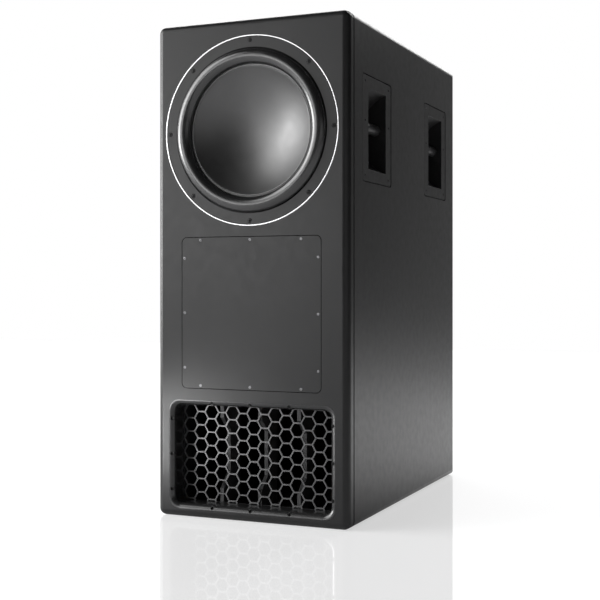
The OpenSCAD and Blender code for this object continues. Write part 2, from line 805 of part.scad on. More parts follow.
// A corrugated disc from the former to the basket's shelf, with a collar on the former
module spider() {
    cloth_t = 1.2;
    wave = 2;
    steps = 40;
    r0 = former_outer_r + bond_gap;
    r1 = ring_inner_r - 1;
    middle = spider_depth - cloth_t;
    // Height of the wave at a share u of the way out
    function bend(u) = middle - wave * sin(1620 * u) * sin(180 * u);
    function at(i) = r0 + 1 + (r1 - r0 - 1) * i / steps;
    color("khaki") in_driver() rotate_extrude() {
        polygon([
            for (i = [0:steps]) [at(i), bend(i / steps)],
            [ring_outer_r - 11, middle], [ring_outer_r - 11, middle + cloth_t],
            for (i = [steps:-1:0]) [at(i), bend(i / steps) + cloth_t]]);
        translate([r0, middle - 3]) square([1.5, 3 + cloth_t]);
    }
}

module magnet_top_plate() color("gray") in_driver() ring(gap_outer_r, plate_r, top_plate_depth, magnet_depth);

module magnet() color("black") in_driver() ring(gap_outer_r + 8, magnet_r, magnet_depth, back_plate_depth);

// Back plate and pole in one forging, vented through the middle
module magnet_back_plate() color("gray") in_driver() difference() {
    union() {
        translate([0, 0, back_plate_depth]) cylinder(h = back_plate_t, r = plate_r);
        translate([0, 0, top_plate_depth - 2])
            cylinder(h = back_plate_depth - top_plate_depth + 3, r = pole_r);
    }
    cylinder(h = 2 * back_plate_depth, r = 12);
}

// A strip of two tags on the rim of the basket's rear ring, under the driver's axis
module driver_terminal() color("saddlebrown") in_driver() difference() {
    translate([-terminal_w / 2, ring_outer_r - 6, terminal_depth])
        cube([terminal_w, terminal_h + 6, terminal_t]);
    cylinder(h = 2 * back_plate_depth, r = ring_outer_r + bond_gap);
}

// Flexible leads from the coil former to the terminal
module tinsel_leads() color("goldenrod") in_driver() for (x = [-lead_x, lead_x])
    rod_path([[x, former_outer_r + 0.5, spider_depth - 12], [x, ring_inner_r + 4, spider_depth - 8],
        [x, ring_outer_r + 6, spider_depth - 4], [x, ring_outer_r + 6, terminal_depth]], lead_r);

// From the amplifier's board, through its cover and the window brace, to the driver's terminal
module driver_cable() color("black") {
    end_y = front_y + terminal_depth + terminal_t / 2;
    rod_path([[cable_x, board_y, cable_z], [cable_x, end_y / 2, cable_z], [0, end_y, cable_low_z],
        [0, end_y, driver_z - ring_outer_r - terminal_h]], cable_r);
}

// ---- Amplifier ----

// Places on the amplifier plate, from its middle
module on_amp(y) translate([0, y, amp_z]) children();

module amp_screw_places() on_amp(amp_out_y + amp_head_t)
    for (p = [[-1, 1], [0, 1], [1, 1], [-1, 1 / 3], [1, 1 / 3],
              [-1, -1 / 3], [1, -1 / 3], [-1, -1], [0, -1], [1, -1]])
        facing_front(p[0] * amp_screw_x, 0, p[1] * amp_screw_z) children();

module standoff_places() for (x = [-1, 1], z = [-1, 1])
    translate([board_x + x * (board_w / 2 - 6), 0, board_z + z * (board_h / 2 - 6)]) children();

module amp_plate() color("dimgray") {
    difference() {
        along_y(amp_in_y, amp_t) translate([0, amp_z]) rrect(amp_w, amp_h, 6);
        amp_screw_places() screw_hole(amp_head_r, amp_head_t, amp_screw_r, amp_screw_len);
        on_amp(amp_in_y - cut) {
            translate([power_x, 0, inlet_z]) along_y(0, amp_t + 2 * cut)
                square([inlet_w + 4 + 2 * screw_gap, inlet_h + 4 + 2 * screw_gap], center = true);
            translate([power_x, 0, switch_z]) along_y(0, amp_t + 2 * cut)
                square([switch_w + 2 * screw_gap, switch_h + 2 * screw_gap], center = true);
            for (z = [xlr_in_z, xlr_out_z])
                facing_back(xlr_x, 0, z) cylinder(h = amp_t + 2 * cut, r = xlr_r + screw_gap);
            for (z = [level_z, crossover_z])
                facing_back(knob_x, 0, z) cylinder(h = amp_t + 2 * cut, r = bush_r + screw_gap);
            facing_back(knob_x, 0, led_z) cylinder(h = amp_t + 2 * cut, r = led_r + screw_gap);
        }
        on_amp(amp_in_y - cut) translate([xlr_x - latch_w / 2 - 1, 0, xlr_in_z])
            cube([latch_w + 2, amp_t + 2 * cut, latch_z + latch_h / 2 + 1]);
    }
    on_amp(amp_in_y + eps) standoff_places()
        facing_front(0, 0, 0) cylinder(h = standoff_h + eps, r = standoff_r);
}

module amp_gasket() color("black") difference() {
    along_y(back_face_y, amp_gasket_t) translate([0, amp_z]) difference() {
        rrect(amp_w, amp_h, 6);
        square([amp_hole_w, amp_hole_h], center = true);
    }
    amp_screw_places() screw_hole(amp_head_r, amp_head_t, amp_screw_r, amp_screw_len);
}

module amp_screws() color("black")
    amp_screw_places() screw(amp_head_r, amp_head_t, amp_screw_r, amp_screw_len);

module heat_sink() color("dimgray") on_amp(amp_out_y) translate([0, 0, sink_z]) {
    fins = floor((sink_w - fin_t) / fin_pitch / 2);
    translate([-sink_w / 2, 0, -sink_h / 2]) cube([sink_w, sink_base_t, sink_h]);
    for (i = [-fins:fins]) translate([i * fin_pitch - fin_t / 2, sink_base_t - eps, -sink_h / 2])
        cube([fin_t, fin_h - sink_base_t + eps, sink_h]);
}

// A box round the electronics, open towards the plate
module amp_cover() color("silver") difference() {
    translate([-amp_cover_w / 2, amp_in_y - amp_box_depth, amp_z - amp_cover_h / 2])
        cube([amp_cover_w, amp_box_depth, amp_cover_h]);
    translate([0, amp_in_y - amp_box_depth, amp_z] + amp_cover_t * [1, 1, 1]
        - [amp_cover_w, 0, amp_cover_h] / 2)
        cube([amp_cover_w - 2 * amp_cover_t, amp_box_depth, amp_cover_h - 2 * amp_cover_t]);
    facing_front(cable_x, board_y, cable_z) cylinder(h = amp_box_depth, r = cable_r + seat_gap);
}

module amp_board() color("darkgreen") on_amp(board_y)
    translate([board_x - board_w / 2, 0, board_z - board_h / 2]) cube([board_w, board_t, board_h]);

module capacitors() color("navy") on_amp(board_y) for (z = [-1:1])
    facing_front(board_x - board_w / 4, 0, board_z - board_h / 6 + z * (2 * cap_r + 6))
        cylinder(h = cap_h, r = cap_r);

module transformer() color("darkgoldenrod") on_amp(amp_in_y) facing_front(toroid_x, 0, board_z) difference() {
    cylinder(h = toroid_t, r = toroid_r);
    translate([0, 0, -cut]) cylinder(h = toroid_t + 2 * cut, r = toroid_hole_r);
}

// A three-pin mains socket with a flange on the plate
module mains_inlet() color("black") on_amp(amp_out_y) translate([power_x, 0, inlet_z]) {
    difference() {
        union() {
            along_y(0, bezel_t) rrect(inlet_w + inlet_flange_w, inlet_h + inlet_flange_h, 3);
            along_y(-inlet_depth - 6, inlet_depth + 6) square([inlet_w + 4, inlet_h + 4], center = true);
        }
        along_y(bezel_t - inlet_depth, inlet_depth + cut) square([inlet_w, inlet_h], center = true);
    }
    for (p = [[0, 3.5], [-7, -2.5], [7, -2.5]])
        translate([p[0] - 1, bezel_t - inlet_depth - eps, p[1] - 2]) cube([2, pin_len, 4]);
}

// The switch's housing: a well with a pivot hole in each side
module switch_housing() color("black") on_amp(0) translate([power_x, rocker_y, switch_z]) difference() {
    union() {
        along_y(amp_out_y - rocker_y, bezel_t) rrect(switch_w + 4, switch_h + 4, 2);
        along_y(-rocker_r - 3, rocker_r + 3 + amp_out_y - rocker_y)
            square([switch_w, switch_h], center = true);
    }
    along_y(-rocker_r - 0.6, 2 * rocker_r) square([rocker_w + 2 * seat_gap, 2 * rocker_well], center = true);
    along_x(-rocker_w / 2 - 2, rocker_w + 4) circle(rocker_pin_r + run_gap);
}

// The rocker rests in its off position and turns to its on position
module switch_rocker() color("red") on_amp(rocker_y)
    translate([power_x, 0, switch_z]) rotate([-rocker_tilt, 0, 0]) {
    along_x(-rocker_w / 2, rocker_w) intersection() {
        circle(rocker_r);
        polygon([[-5, -rocker_r], [-5, rocker_r], [6.1, rocker_r], [4, 0], [6.1, -rocker_r]]);
    }
    along_x(-rocker_w / 2 - 1.8, rocker_w + 3.6) circle(rocker_pin_r);
}

// A flange and barrel for a three-pin connector
module xlr_shell() {
    along_y(0, xlr_t) rrect(xlr_w, xlr_h, 3);
    facing_front(0, eps, 0) cylinder(h = xlr_body, r = xlr_r);
}

module xlr_pin_places() for (a = [90, 210, 330])
    translate([xlr_pin_circle * cos(a), 0, xlr_pin_circle * sin(a)]) children();

module xlr_input() color("black") on_amp(amp_out_y) translate([xlr_x, 0, xlr_in_z]) difference() {
    xlr_shell();
    facing_front(0, xlr_t, 0) translate([0, 0, -cut]) ring(7.8, 9.6, 0, 15);
    xlr_pin_places() facing_front(0, xlr_t + cut, 0) cylinder(h = 13, r = 1.4);
    translate([-latch_w / 2 - seat_gap, -latch_slot, latch_z - latch_h / 2 - seat_gap])
        cube([latch_w + 2 * seat_gap, latch_slot + xlr_t + cut, latch_h + 2 * seat_gap]);
}

// The push latch of the input socket
module xlr_latch() color("silver") on_amp(amp_out_y) translate([xlr_x, 0, xlr_in_z])
    translate([-latch_w / 2, latch_travel + 1 - latch_slot, latch_z - latch_h / 2])
        cube([latch_w, latch_slot - latch_travel - 1 + xlr_t + latch_proud, latch_h]);

module xlr_output() color("black") on_amp(amp_out_y) translate([xlr_x, 0, xlr_out_z]) {
    difference() {
        xlr_shell();
        facing_front(0, xlr_t + cut, 0) cylinder(h = 16 + cut, r = 9.3);
    }
    xlr_pin_places() facing_back(0, xlr_t - 16 - eps, 0) cylinder(h = 11, r = 1.2);
}

// Two rotary controls behind the plate, each with a bush through it
module control_pots() color("silver") for (z = [level_z, crossover_z])
    on_amp(amp_in_y) facing_front(knob_x, 0, z) difference() {
        union() {
            cylinder(h = pot_t, r = pot_r);
            translate([0, 0, -amp_t - 0.8]) cylinder(h = amp_t + 1, r = bush_r);
        }
        translate([0, 0, -amp_t - 2]) cylinder(h = amp_t + pot_t, r = shaft_r + run_gap);
    }

// A knob with its shaft, and a groove that points at the scale
module knob(z) on_amp(amp_out_y) facing_back(knob_x, knob_lift, z) {
    difference() {
        union() {
            cylinder(h = knob_h * 0.3, r = knob_r);
            translate([0, 0, knob_h * 0.3 - eps])
                cylinder(h = knob_h * 0.7, r1 = knob_r - 1, r2 = knob_r - 2);
        }
        translate([-0.6, -knob_r - cut, knob_h - 1]) cube([1.2, knob_r + cut, 2]);
    }
    translate([0, 0, -amp_t - knob_lift - 8]) cylinder(h = amp_t + knob_lift + 9, r = shaft_r);
}

module level_knob() color("black") knob(level_z);

module crossover_knob() color("black") knob(crossover_z);

module status_led() color("blue") on_amp(amp_in_y) facing_back(knob_x, 0, led_z) {
    translate([0, 0, -1.5]) cylinder(h = 1.5, r = led_r + 1);
    cylinder(h = amp_t + 0.5, r = led_r);
    translate([0, 0, amp_t + 0.5]) sphere(led_r);
}

side_panel_left();
side_panel_right();
top_panel();
bottom_panel();
back_panel();
front_baffle();
duct_shelf();
window_brace();
damping_foam();
foot_inserts();
access_panel();
access_gasket();
access_screws();
vent_frame();
vent_grille();
vent_vanes();
vent_screws();
handle_cup(-1, -1);  // handle_cup_left_front
handle_cup(-1, 1);  // handle_cup_left_rear
handle_cup(1, -1);  // handle_cup_right_front
handle_cup(1, 1);  // handle_cup_right_rear
handle_bar(-1, -1);  // handle_bar_left_front
handle_bar(-1, 1);  // handle_bar_left_rear
handle_bar(1, -1);  // handle_bar_right_front
handle_bar(1, 1);  // handle_bar_right_rear
handle_screws();
driver_basket();
driver_gasket();
driver_clamp_ring();
driver_trim_ring();
driver_screws();
surround();
cone();
coil_former();
voice_coil();
spider();
magnet_top_plate();
magnet();
magnet_back_plate();
driver_terminal();
tinsel_leads();
driver_cable();
amp_plate();
amp_gasket();
amp_screws();
heat_sink();
amp_cover();
amp_board();
transformer();
capacitors();
mains_inlet();
switch_housing();
switch_rocker();
xlr_input();
xlr_latch();
xlr_output();
control_pots();
level_knob();
crossover_knob();
status_led();
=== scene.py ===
# A floor-standing 15 inch subwoofer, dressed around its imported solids.
# Everything is in metres: +Z is up, the front faces -Y, and +X is to the right seen from the front.
import json
import math

import bmesh
import bpy
from mathutils import Matrix, Vector
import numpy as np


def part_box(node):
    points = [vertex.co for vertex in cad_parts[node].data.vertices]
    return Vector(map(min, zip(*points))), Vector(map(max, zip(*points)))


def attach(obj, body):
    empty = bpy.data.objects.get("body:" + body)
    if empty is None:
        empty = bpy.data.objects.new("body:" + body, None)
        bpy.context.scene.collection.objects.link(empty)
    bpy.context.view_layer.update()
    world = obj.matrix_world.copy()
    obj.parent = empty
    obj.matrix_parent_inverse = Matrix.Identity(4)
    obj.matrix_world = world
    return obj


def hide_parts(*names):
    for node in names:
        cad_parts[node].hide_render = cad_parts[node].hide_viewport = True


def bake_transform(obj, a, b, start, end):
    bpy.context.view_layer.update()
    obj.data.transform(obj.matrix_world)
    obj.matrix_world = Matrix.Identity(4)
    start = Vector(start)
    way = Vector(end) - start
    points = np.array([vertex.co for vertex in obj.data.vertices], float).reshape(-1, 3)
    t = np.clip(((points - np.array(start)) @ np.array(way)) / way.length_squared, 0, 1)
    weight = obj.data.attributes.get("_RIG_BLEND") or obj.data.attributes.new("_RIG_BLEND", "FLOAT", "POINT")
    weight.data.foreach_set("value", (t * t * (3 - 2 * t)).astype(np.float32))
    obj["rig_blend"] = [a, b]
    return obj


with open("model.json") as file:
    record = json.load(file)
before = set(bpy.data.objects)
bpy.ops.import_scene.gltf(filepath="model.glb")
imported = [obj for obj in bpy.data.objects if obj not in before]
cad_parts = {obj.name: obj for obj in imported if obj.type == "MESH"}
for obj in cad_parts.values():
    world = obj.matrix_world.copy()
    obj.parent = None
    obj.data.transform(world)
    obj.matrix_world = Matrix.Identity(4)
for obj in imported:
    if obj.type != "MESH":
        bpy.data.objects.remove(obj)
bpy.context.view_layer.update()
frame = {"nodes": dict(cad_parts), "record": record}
nodes = frame["nodes"]
scene = bpy.context.scene

# ---- Camera ----
# A long lens, level, a little under half the cabinet's height and to the right of its front.
# It stands about 2.8 m from the cabinet.
LENS_MM = 69.4
SENSOR_MM = 36.0
LENS_SHIFT = -0.02395
CAMERA_PLACE = (1.0448, -2.5559, 0.4932)
CAMERA_TURN = 23.24


def add_object(name, data):
    """Puts a new object with the given mesh, lamp or camera in the scene."""
    piece = bpy.data.objects.new(name, data)
    scene.collection.objects.link(piece)
    return piece


camera = add_object("camera", bpy.data.cameras.new("camera"))
camera.data.lens = LENS_MM
camera.data.sensor_width = SENSOR_MM
camera.data.shift_y = LENS_SHIFT
camera.location = CAMERA_PLACE
camera.rotation_euler = (math.pi / 2, 0, math.radians(CAMERA_TURN))
scene.camera = camera

# ---- Cabinet panels ----
# Birch plywood boards glued at the corners, with every outer edge rounded over and a shadow groove
# behind the baffle. They are sprayed with a satin charcoal paint that has a very fine orange peel.
PAINT_COLOR = (0.020, 0.020, 0.0204)
PAINT_ROUGHNESS = 0.32
PAINT_SPECULAR = 0.5
PANEL_EDGE = 0.0006
CORNER_RADIUS = 0.015
JOINT_SHADE_REACH = 0.004
JOINT_SHADE = (0.3, 0.72)
CORNER_STEP = 12
MERGE_GAP = 3e-6
FLAT_ANGLE = 0.3
CLOUD_SCALE = 14.0
GLOSS_SCALE = 55.0


def new_material(name, color, roughness, metallic=0.0):
    """A material with a Principled shader, and the tree and shader to work on."""
    material = bpy.data.materials.new(name)
    material.use_nodes = True
    tree = material.node_tree
    shader = tree.nodes["Principled BSDF"]
    shader.inputs["Base Color"].default_value = (*color, 1)
    shader.inputs["Roughness"].default_value = roughness
    shader.inputs["Metallic"].default_value = metallic
    return material, tree, shader


def fill(tree, socket, value):
    """Links a socket to another one, or sets its value."""
    if isinstance(value, bpy.types.NodeSocket):
        tree.links.new(value, socket)
    else:
        socket.default_value = value


def joined(tree, kind, *values, operation=None):
    """Adds a node, fills its inputs in their order and returns its outputs."""
    node = tree.nodes.new(kind)
    if operation:
        node.operation = operation
    for socket, value in zip(node.inputs, values):
        fill(tree, socket, value)
    return node.outputs


def add_noise(tree, scale, detail=3.0, stretch=(1, 1, 1)):
    """A cloudy pattern: scale is waves a metre."""
    place = tree.nodes.new("ShaderNodeTexCoord")
    mapping = tree.nodes.new("ShaderNodeMapping")
    mapping.inputs["Scale"].default_value = stretch
    noise = tree.nodes.new("ShaderNodeTexNoise")
    noise.inputs["Scale"].default_value = scale
    noise.inputs["Detail"].default_value = detail
    tree.links.new(place.outputs["Object"], mapping.inputs["Vector"])
    tree.links.new(mapping.outputs["Vector"], noise.inputs["Vector"])
    return noise.outputs["Fac"]


def add_ramp(tree, fac, low, high, at=(0.35, 0.65)):
    """A ramp between two grey levels or colours."""
    ramp = tree.nodes.new("ShaderNodeValToRGB")
    for stop, where, value in zip(ramp.color_ramp.elements, at, (low, high)):
        stop.position = where
        stop.color = (*value, 1) if isinstance(value, tuple) else (value, value, value, 1)
    tree.links.new(fac, ramp.inputs["Fac"])
    return ramp.outputs["Color"]


def add_tint(tree, shader, fac, dark, light, at=(0.35, 0.65)):
    """Colours a finish by a pattern, from dark to light."""
    tree.links.new(add_ramp(tree, fac, dark, light, at), shader.inputs["Base Color"])


def add_bump(tree, shader, height, depth):
    """Relief of a real depth in metres."""
    bump = tree.nodes.new("ShaderNodeBump")
    bump.inputs["Distance"].default_value = depth
    tree.links.new(height, bump.inputs["Height"])
    tree.links.new(bump.outputs["Normal"], shader.inputs["Normal"])


def textured_finish(name, color, roughness, grain, depth, metallic=0.0, mottle=0.06, spread=0.03):
    """A coated or moulded finish with a fine grain and slightly uneven colour and gloss.

    The grain is in waves a metre and its depth in metres; mottle and spread are how far the
    colour and the roughness stray.
    """
    material, tree, shader = new_material(name, color, roughness, metallic)
    dark = tuple(c * (1 - mottle) for c in color)
    light = tuple(c * (1 + mottle) for c in color)
    add_tint(tree, shader, add_noise(tree, CLOUD_SCALE), dark, light)
    patches = add_noise(tree, GLOSS_SCALE, detail=4.0)
    uneven = add_ramp(tree, patches, roughness - spread, roughness + spread)
    tree.links.new(uneven, shader.inputs["Roughness"])
    add_bump(tree, shader, add_noise(tree, grain, detail=2.0), depth=depth)
    return material


def write_shape(shape, mesh, sharp=None):
    """Writes a shape to a mesh, smooth but for the edges of more than an angle in degrees."""
    if sharp is not None:
        for face in shape.faces:
            face.smooth = True
        for edge in shape.edges:
            edge.smooth = edge.calc_face_angle(0.0) < math.radians(sharp)
    shape.to_mesh(mesh)
    shape.free()
    return mesh


def smooth_copy(node, soften=0.0, segments=2, sharp=35.0):
    """A merged copy of a CAD node: flat areas become single faces and every edge is softened."""
    mesh = nodes[node].data.copy()
    shape = bmesh.new()
    shape.from_mesh(mesh)
    bmesh.ops.remove_doubles(shape, verts=shape.verts, dist=MERGE_GAP)
    bmesh.ops.dissolve_limit(shape, angle_limit=math.radians(FLAT_ANGLE), verts=shape.verts,
                             edges=shape.edges)
    piece = add_object(node + "_finished", write_shape(shape, mesh, sharp))
    mesh.materials.clear()
    if soften:
        bevel = piece.modifiers.new("softened edges", "BEVEL")
        bevel.width = soften
        bevel.segments = segments
        bevel.limit_method = "ANGLE"
        bevel.angle_limit = math.radians(sharp)
        bevel.use_clamp_overlap = True
        normals = piece.modifiers.new("flat faces stay flat", "WEIGHTED_NORMAL")
        normals.keep_sharp = False
        normals.weight = 100
    return piece


def stands_for(piece, node, material=None, rides=True):
    """Makes a piece take a CAD node's place and move with that node's body."""
    bodies = frame["record"]["behaviour"]["bodies"]
    if material:
        piece.data.materials.append(material)
    if rides:
        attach(piece, next(body for body, members in bodies.items() if node in members))
    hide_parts(node)
    return piece


def dress(node, material, soften=0.0, segments=2, sharp=35.0):
    """Replaces a CAD node with its softened copy in the given finish."""
    return stands_for(smooth_copy(node, soften, segments, sharp), node, material)


def coat(node, material):
    """Gives a CAD node, as it is, the given finish."""
    nodes[node].data.materials.clear()
    nodes[node].data.materials.append(material)


def paint_joint_shade(material):
    """Paints shade into narrow joints and recesses: ambient occlusion darkens the paint's colour and gloss
    there.
    """
    tree = material.node_tree
    shader = tree.nodes["Principled BSDF"]
    open_sky = tree.nodes.new("ShaderNodeAmbientOcclusion")
    open_sky.samples = 8
    open_sky.inputs["Distance"].default_value = JOINT_SHADE_REACH
    share = add_ramp(tree, open_sky.outputs["AO"], 0.0, 1.0, JOINT_SHADE)
    paint = shader.inputs["Base Color"].links[0].from_socket
    tint = joined(tree, "ShaderNodeVectorMath", paint, share, operation="MULTIPLY")
    tree.links.new(tint["Vector"], shader.inputs["Base Color"])
    gloss = joined(tree, "ShaderNodeMath", share, PAINT_SPECULAR, operation="MULTIPLY")
    tree.links.new(gloss["Value"], shader.inputs["Specular IOR Level"])


def round_corners(piece, radius):
    """Makes the front panel's outer corners, where three round edges meet, parts of a ball."""
    shape = bmesh.new()
    shape.from_mesh(piece.data)
    low = Vector(min(v.co[i] for v in shape.verts) for i in range(3))
    high = Vector(max(v.co[i] for v in shape.verts) for i in range(3))
    for normal in (Vector((1, 0, 0)), Vector((0, 0, 1))):
        for turn in range(0, 90, CORNER_STEP):
            inward = Vector((1, 1, 1)) * radius * (1 - math.sin(math.radians(turn)))
            for level in (low + inward, high - inward):
                everything = list(shape.verts) + list(shape.edges) + list(shape.faces)
                bmesh.ops.bisect_plane(shape, geom=everything, dist=1e-6, plane_co=level,
                                       plane_no=normal)
    for vert in shape.verts:
        x, z = (min(max(vert.co[i], low[i] + radius), high[i] - radius) for i in (0, 2))
        centre = Vector((x, max(vert.co.y, low.y + radius), z))
        out = vert.co - centre
        if out.length > radius:
            vert.co = centre + out.normalized() * radius
    write_shape(shape, piece.data)


charcoal_paint = textured_finish("charcoal satin paint", PAINT_COLOR, roughness=PAINT_ROUGHNESS,
                                 grain=900.0, depth=0.00003)
# Painted shade: the paint's colour and gloss go dark in every narrow joint and recess it covers.
paint_joint_shade(charcoal_paint)
for panel in ("side_panel_left", "side_panel_right", "front_baffle", "top_panel", "bottom_panel",
              "back_panel"):
    dress(panel, charcoal_paint, soften=PANEL_EDGE)
round_corners(bpy.data.objects["front_baffle_finished"], CORNER_RADIUS)

# ---- Inside of the cabinet ----
# The duct's shelf and the window brace are bare birch plywood, glued between the sides. Sheets of
# convoluted polyurethane foam line the walls, and brass inserts for feet are pressed into the base.
PLY_DARK = (0.30, 0.18, 0.09)
PLY_LIGHT = (0.52, 0.36, 0.20)
FOAM_COLOR = (0.022, 0.022, 0.025)
FOAM_DARK = 0.008
FOAM_LIGHT = 0.03
FOAM_CELLS = 420.0
BRASS = (0.72, 0.52, 0.22)

birch, tree, shader = new_material("bare birch plywood", PLY_LIGHT, 0.6)
grain = add_noise(tree, 26.0, detail=6.0, stretch=(1.0, 1.0, 9.0))
add_tint(tree, shader, grain, PLY_DARK, PLY_LIGHT, (0.25, 0.6))
add_bump(tree, shader, grain, depth=0.0002)
for board in ("duct_shelf", "window_brace"):
    coat(board, birch)

foam, tree, shader = new_material("damping foam", FOAM_COLOR, 0.95)
cells = tree.nodes.new("ShaderNodeTexVoronoi")
cells.inputs["Scale"].default_value = FOAM_CELLS
place = tree.nodes.new("ShaderNodeTexCoord")
tree.links.new(place.outputs["Object"], cells.inputs["Vector"])
add_tint(tree, shader, cells.outputs["Distance"], FOAM_DARK, FOAM_LIGHT, (0.0, 0.6))
add_bump(tree, shader, cells.outputs["Distance"], depth=0.0015)
coat("damping_foam", foam)

brass = textured_finish("turned brass", BRASS, roughness=0.28, grain=2600.0, depth=0.00001,
                        metallic=1.0)
coat("foot_inserts", brass)

# ---- Access panel ----
# A flush plate of 10 mm board, sprayed like the baffle, on a thin rubber gasket. Twelve small
# screws round its edge hold it over the opening to the crossover and the wiring.
PANEL_LIP = 0.0005
JOINT_TRIM = 0.0004

trimmed = dress("access_panel", charcoal_paint, soften=PANEL_LIP).data
middle_x = sum(v.co.x for v in trimmed.vertices) / len(trimmed.vertices)
low_z = min(v.co.z for v in trimmed.vertices)
high_z = max(v.co.z for v in trimmed.vertices)
half_w = max(abs(v.co.x - middle_x) for v in trimmed.vertices)
half_h = (high_z - low_z) / 2
for v in trimmed.vertices:
    v.co.x = middle_x + (v.co.x - middle_x) * (half_w - JOINT_TRIM) / half_w
    v.co.z = low_z + half_h + (v.co.z - low_z - half_h) * (half_h - JOINT_TRIM) / half_h
gasket_rubber = textured_finish("gasket rubber", (0.008, 0.008, 0.008), roughness=0.75,
                                grain=1800.0, depth=0.00005)
for gasket in ("access_gasket", "driver_gasket", "amp_gasket"):
    coat(gasket, gasket_rubber)

# ---- Vent ----
# A moulded frame with a flared lip stands in the baffle's mouth. A punched and powder-coated steel
# honeycomb rests in its back, and three black boards with swept edges divide the duct behind.
VENT_PLASTIC = (0.024, 0.024, 0.0245)
GRILLE_COAT = (0.13, 0.13, 0.132)
VANE_PAINT = (0.05, 0.05, 0.051)
VENT_SPECULAR = 0.95

vent_plastic = textured_finish("moulded vent plastic", VENT_PLASTIC, roughness=0.24, grain=1500.0,
                               depth=0.00001)
shader = vent_plastic.node_tree.nodes["Principled BSDF"]
shader.inputs["Specular IOR Level"].default_value = VENT_SPECULAR
dress("vent_frame", vent_plastic, soften=0.0003, segments=1, sharp=25.0)
grille_coat = textured_finish("grille powder coat", GRILLE_COAT, roughness=0.38, grain=2400.0,
                              depth=0.00003, metallic=0.35)
dress("vent_grille", grille_coat, soften=0.0004)
vane_paint = textured_finish("vane paint", VANE_PAINT, roughness=0.6, grain=1600.0, depth=0.00005)
dress("vent_vanes", vane_paint, soften=0.0008)

# ---- Screws ----
# Blackened steel screws with a hexagon socket, sunk flush in their pockets: eight round the driver,
# twelve round the vent, six on each handle and those of the amplifier. The access panel's twelve
# are zinc-plated. Each screw has its head's radius and height, then its shank's radius and length.
SCREW_SIDES = 24
SCREW_SHARP = 35.0
DRIVER_HEAD = (0.0042, 0.0032, 0.0025, 0.026)
VENT_HEAD = (0.0040, 0.0035, 0.0015, 0.016)
ACCESS_HEAD = (0.0030, 0.0022, 0.00175, 0.020)
HANDLE_HEAD = (0.0040, 0.0022, 0.0020, 0.016)
AMP_HEAD = (0.0040, 0.0024, 0.0020, 0.018)


def rings_to_mesh(name, rings):
    """Joins rings of as many points each with faces, and closes the two ends."""
    shape = bmesh.new()
    loops = [[shape.verts.new(point) for point in ring] for ring in rings]
    for low, high in zip(loops, loops[1:]):
        for i in range(len(low)):
            j = (i + 1) % len(low)
            shape.faces.new((low[i], low[j], high[j], high[i]))
    shape.faces.new(loops[0][::-1])
    shape.faces.new(loops[-1])
    bmesh.ops.recalc_face_normals(shape, faces=shape.faces)
    return write_shape(shape, bpy.data.meshes.new(name), SCREW_SHARP)


def socket_screw(head_r, head_t, shank_r, length):
    """A screw whose head's face is at the origin, facing +Z, with a hexagon socket in it."""
    def circle(r, z):
        turns = [2 * math.pi * i / SCREW_SIDES for i in range(SCREW_SIDES)]
        return [(r * math.cos(a), r * math.sin(a), z) for a in turns]

    def hexagon(r, z):
        points = []
        for i in range(SCREW_SIDES):
            a = 2 * math.pi * i / SCREW_SIDES
            inward = math.cos(math.pi / 6) / math.cos((a % (math.pi / 3)) - math.pi / 6)
            points.append((r * inward * math.cos(a), r * inward * math.sin(a), z))
        return points

    edge = head_r * 0.12
    return rings_to_mesh("socket screw", [
        circle(shank_r, -head_t - length), circle(shank_r, -head_t), circle(head_r, -head_t),
        circle(head_r, -edge), circle(head_r - edge * 0.35, -edge * 0.3), circle(head_r - edge, 0),
        circle(head_r * 0.62, 0), hexagon(head_r * 0.56, 0), hexagon(head_r * 0.5, -edge * 0.5),
        hexagon(head_r * 0.5, -head_t * 0.7), circle(head_r * 0.1, -head_t * 0.8)])


def screw_seats(node, facing):
    """The middle of each screw's face in a CAD node of screws, with the way it faces."""
    shape = bmesh.new()
    shape.from_mesh(nodes[node].data)
    bmesh.ops.remove_doubles(shape, verts=shape.verts, dist=MERGE_GAP)
    shape.verts.index_update()
    seen, seats = set(), []
    for start in shape.verts:
        if start.index in seen:
            continue
        seen.add(start.index)
        group, queue = [], [start]
        while queue:
            vert = queue.pop()
            group.append(vert.co.copy())
            for edge in vert.link_edges:
                other = edge.other_vert(vert)
                if other.index not in seen:
                    seen.add(other.index)
                    queue.append(other)
        low = Vector([min(p[k] for p in group) for k in range(3)])
        high = Vector([max(p[k] for p in group) for k in range(3)])
        middle = (low + high) / 2
        way = Vector(facing)
        if facing[0]:
            way.x = math.copysign(1, middle.x)
        depth = (high - low).dot(Vector([abs(c) for c in way]))
        seats.append((middle + way * (depth / 2), way))
    shape.free()
    return seats


def named_tree(name, inputs):
    """An empty Geometry Nodes tree with a geometry in and out and the named inputs."""
    tree = bpy.data.node_groups.new(name, "GeometryNodeTree")
    tree.interface.new_socket("Geometry", in_out="INPUT", socket_type="NodeSocketGeometry")
    tree.interface.new_socket("Geometry", in_out="OUTPUT", socket_type="NodeSocketGeometry")
    for label, kind, value in inputs:
        item = tree.interface.new_socket(label, in_out="INPUT", socket_type=kind)
        if value is not None:
            item.default_value = value
    return tree, tree.nodes.new("NodeGroupInput"), tree.nodes.new("NodeGroupOutput")


def add_node(tree, kind, settings=(), **links):
    """Adds a node, sets its options and links or fills its inputs by name."""
    node = tree.nodes.new(kind)
    for key, value in settings:
        setattr(node, key, value)
    for label, value in links.items():
        fill(tree, node.inputs[label.replace("_", " ")], value)
    return node


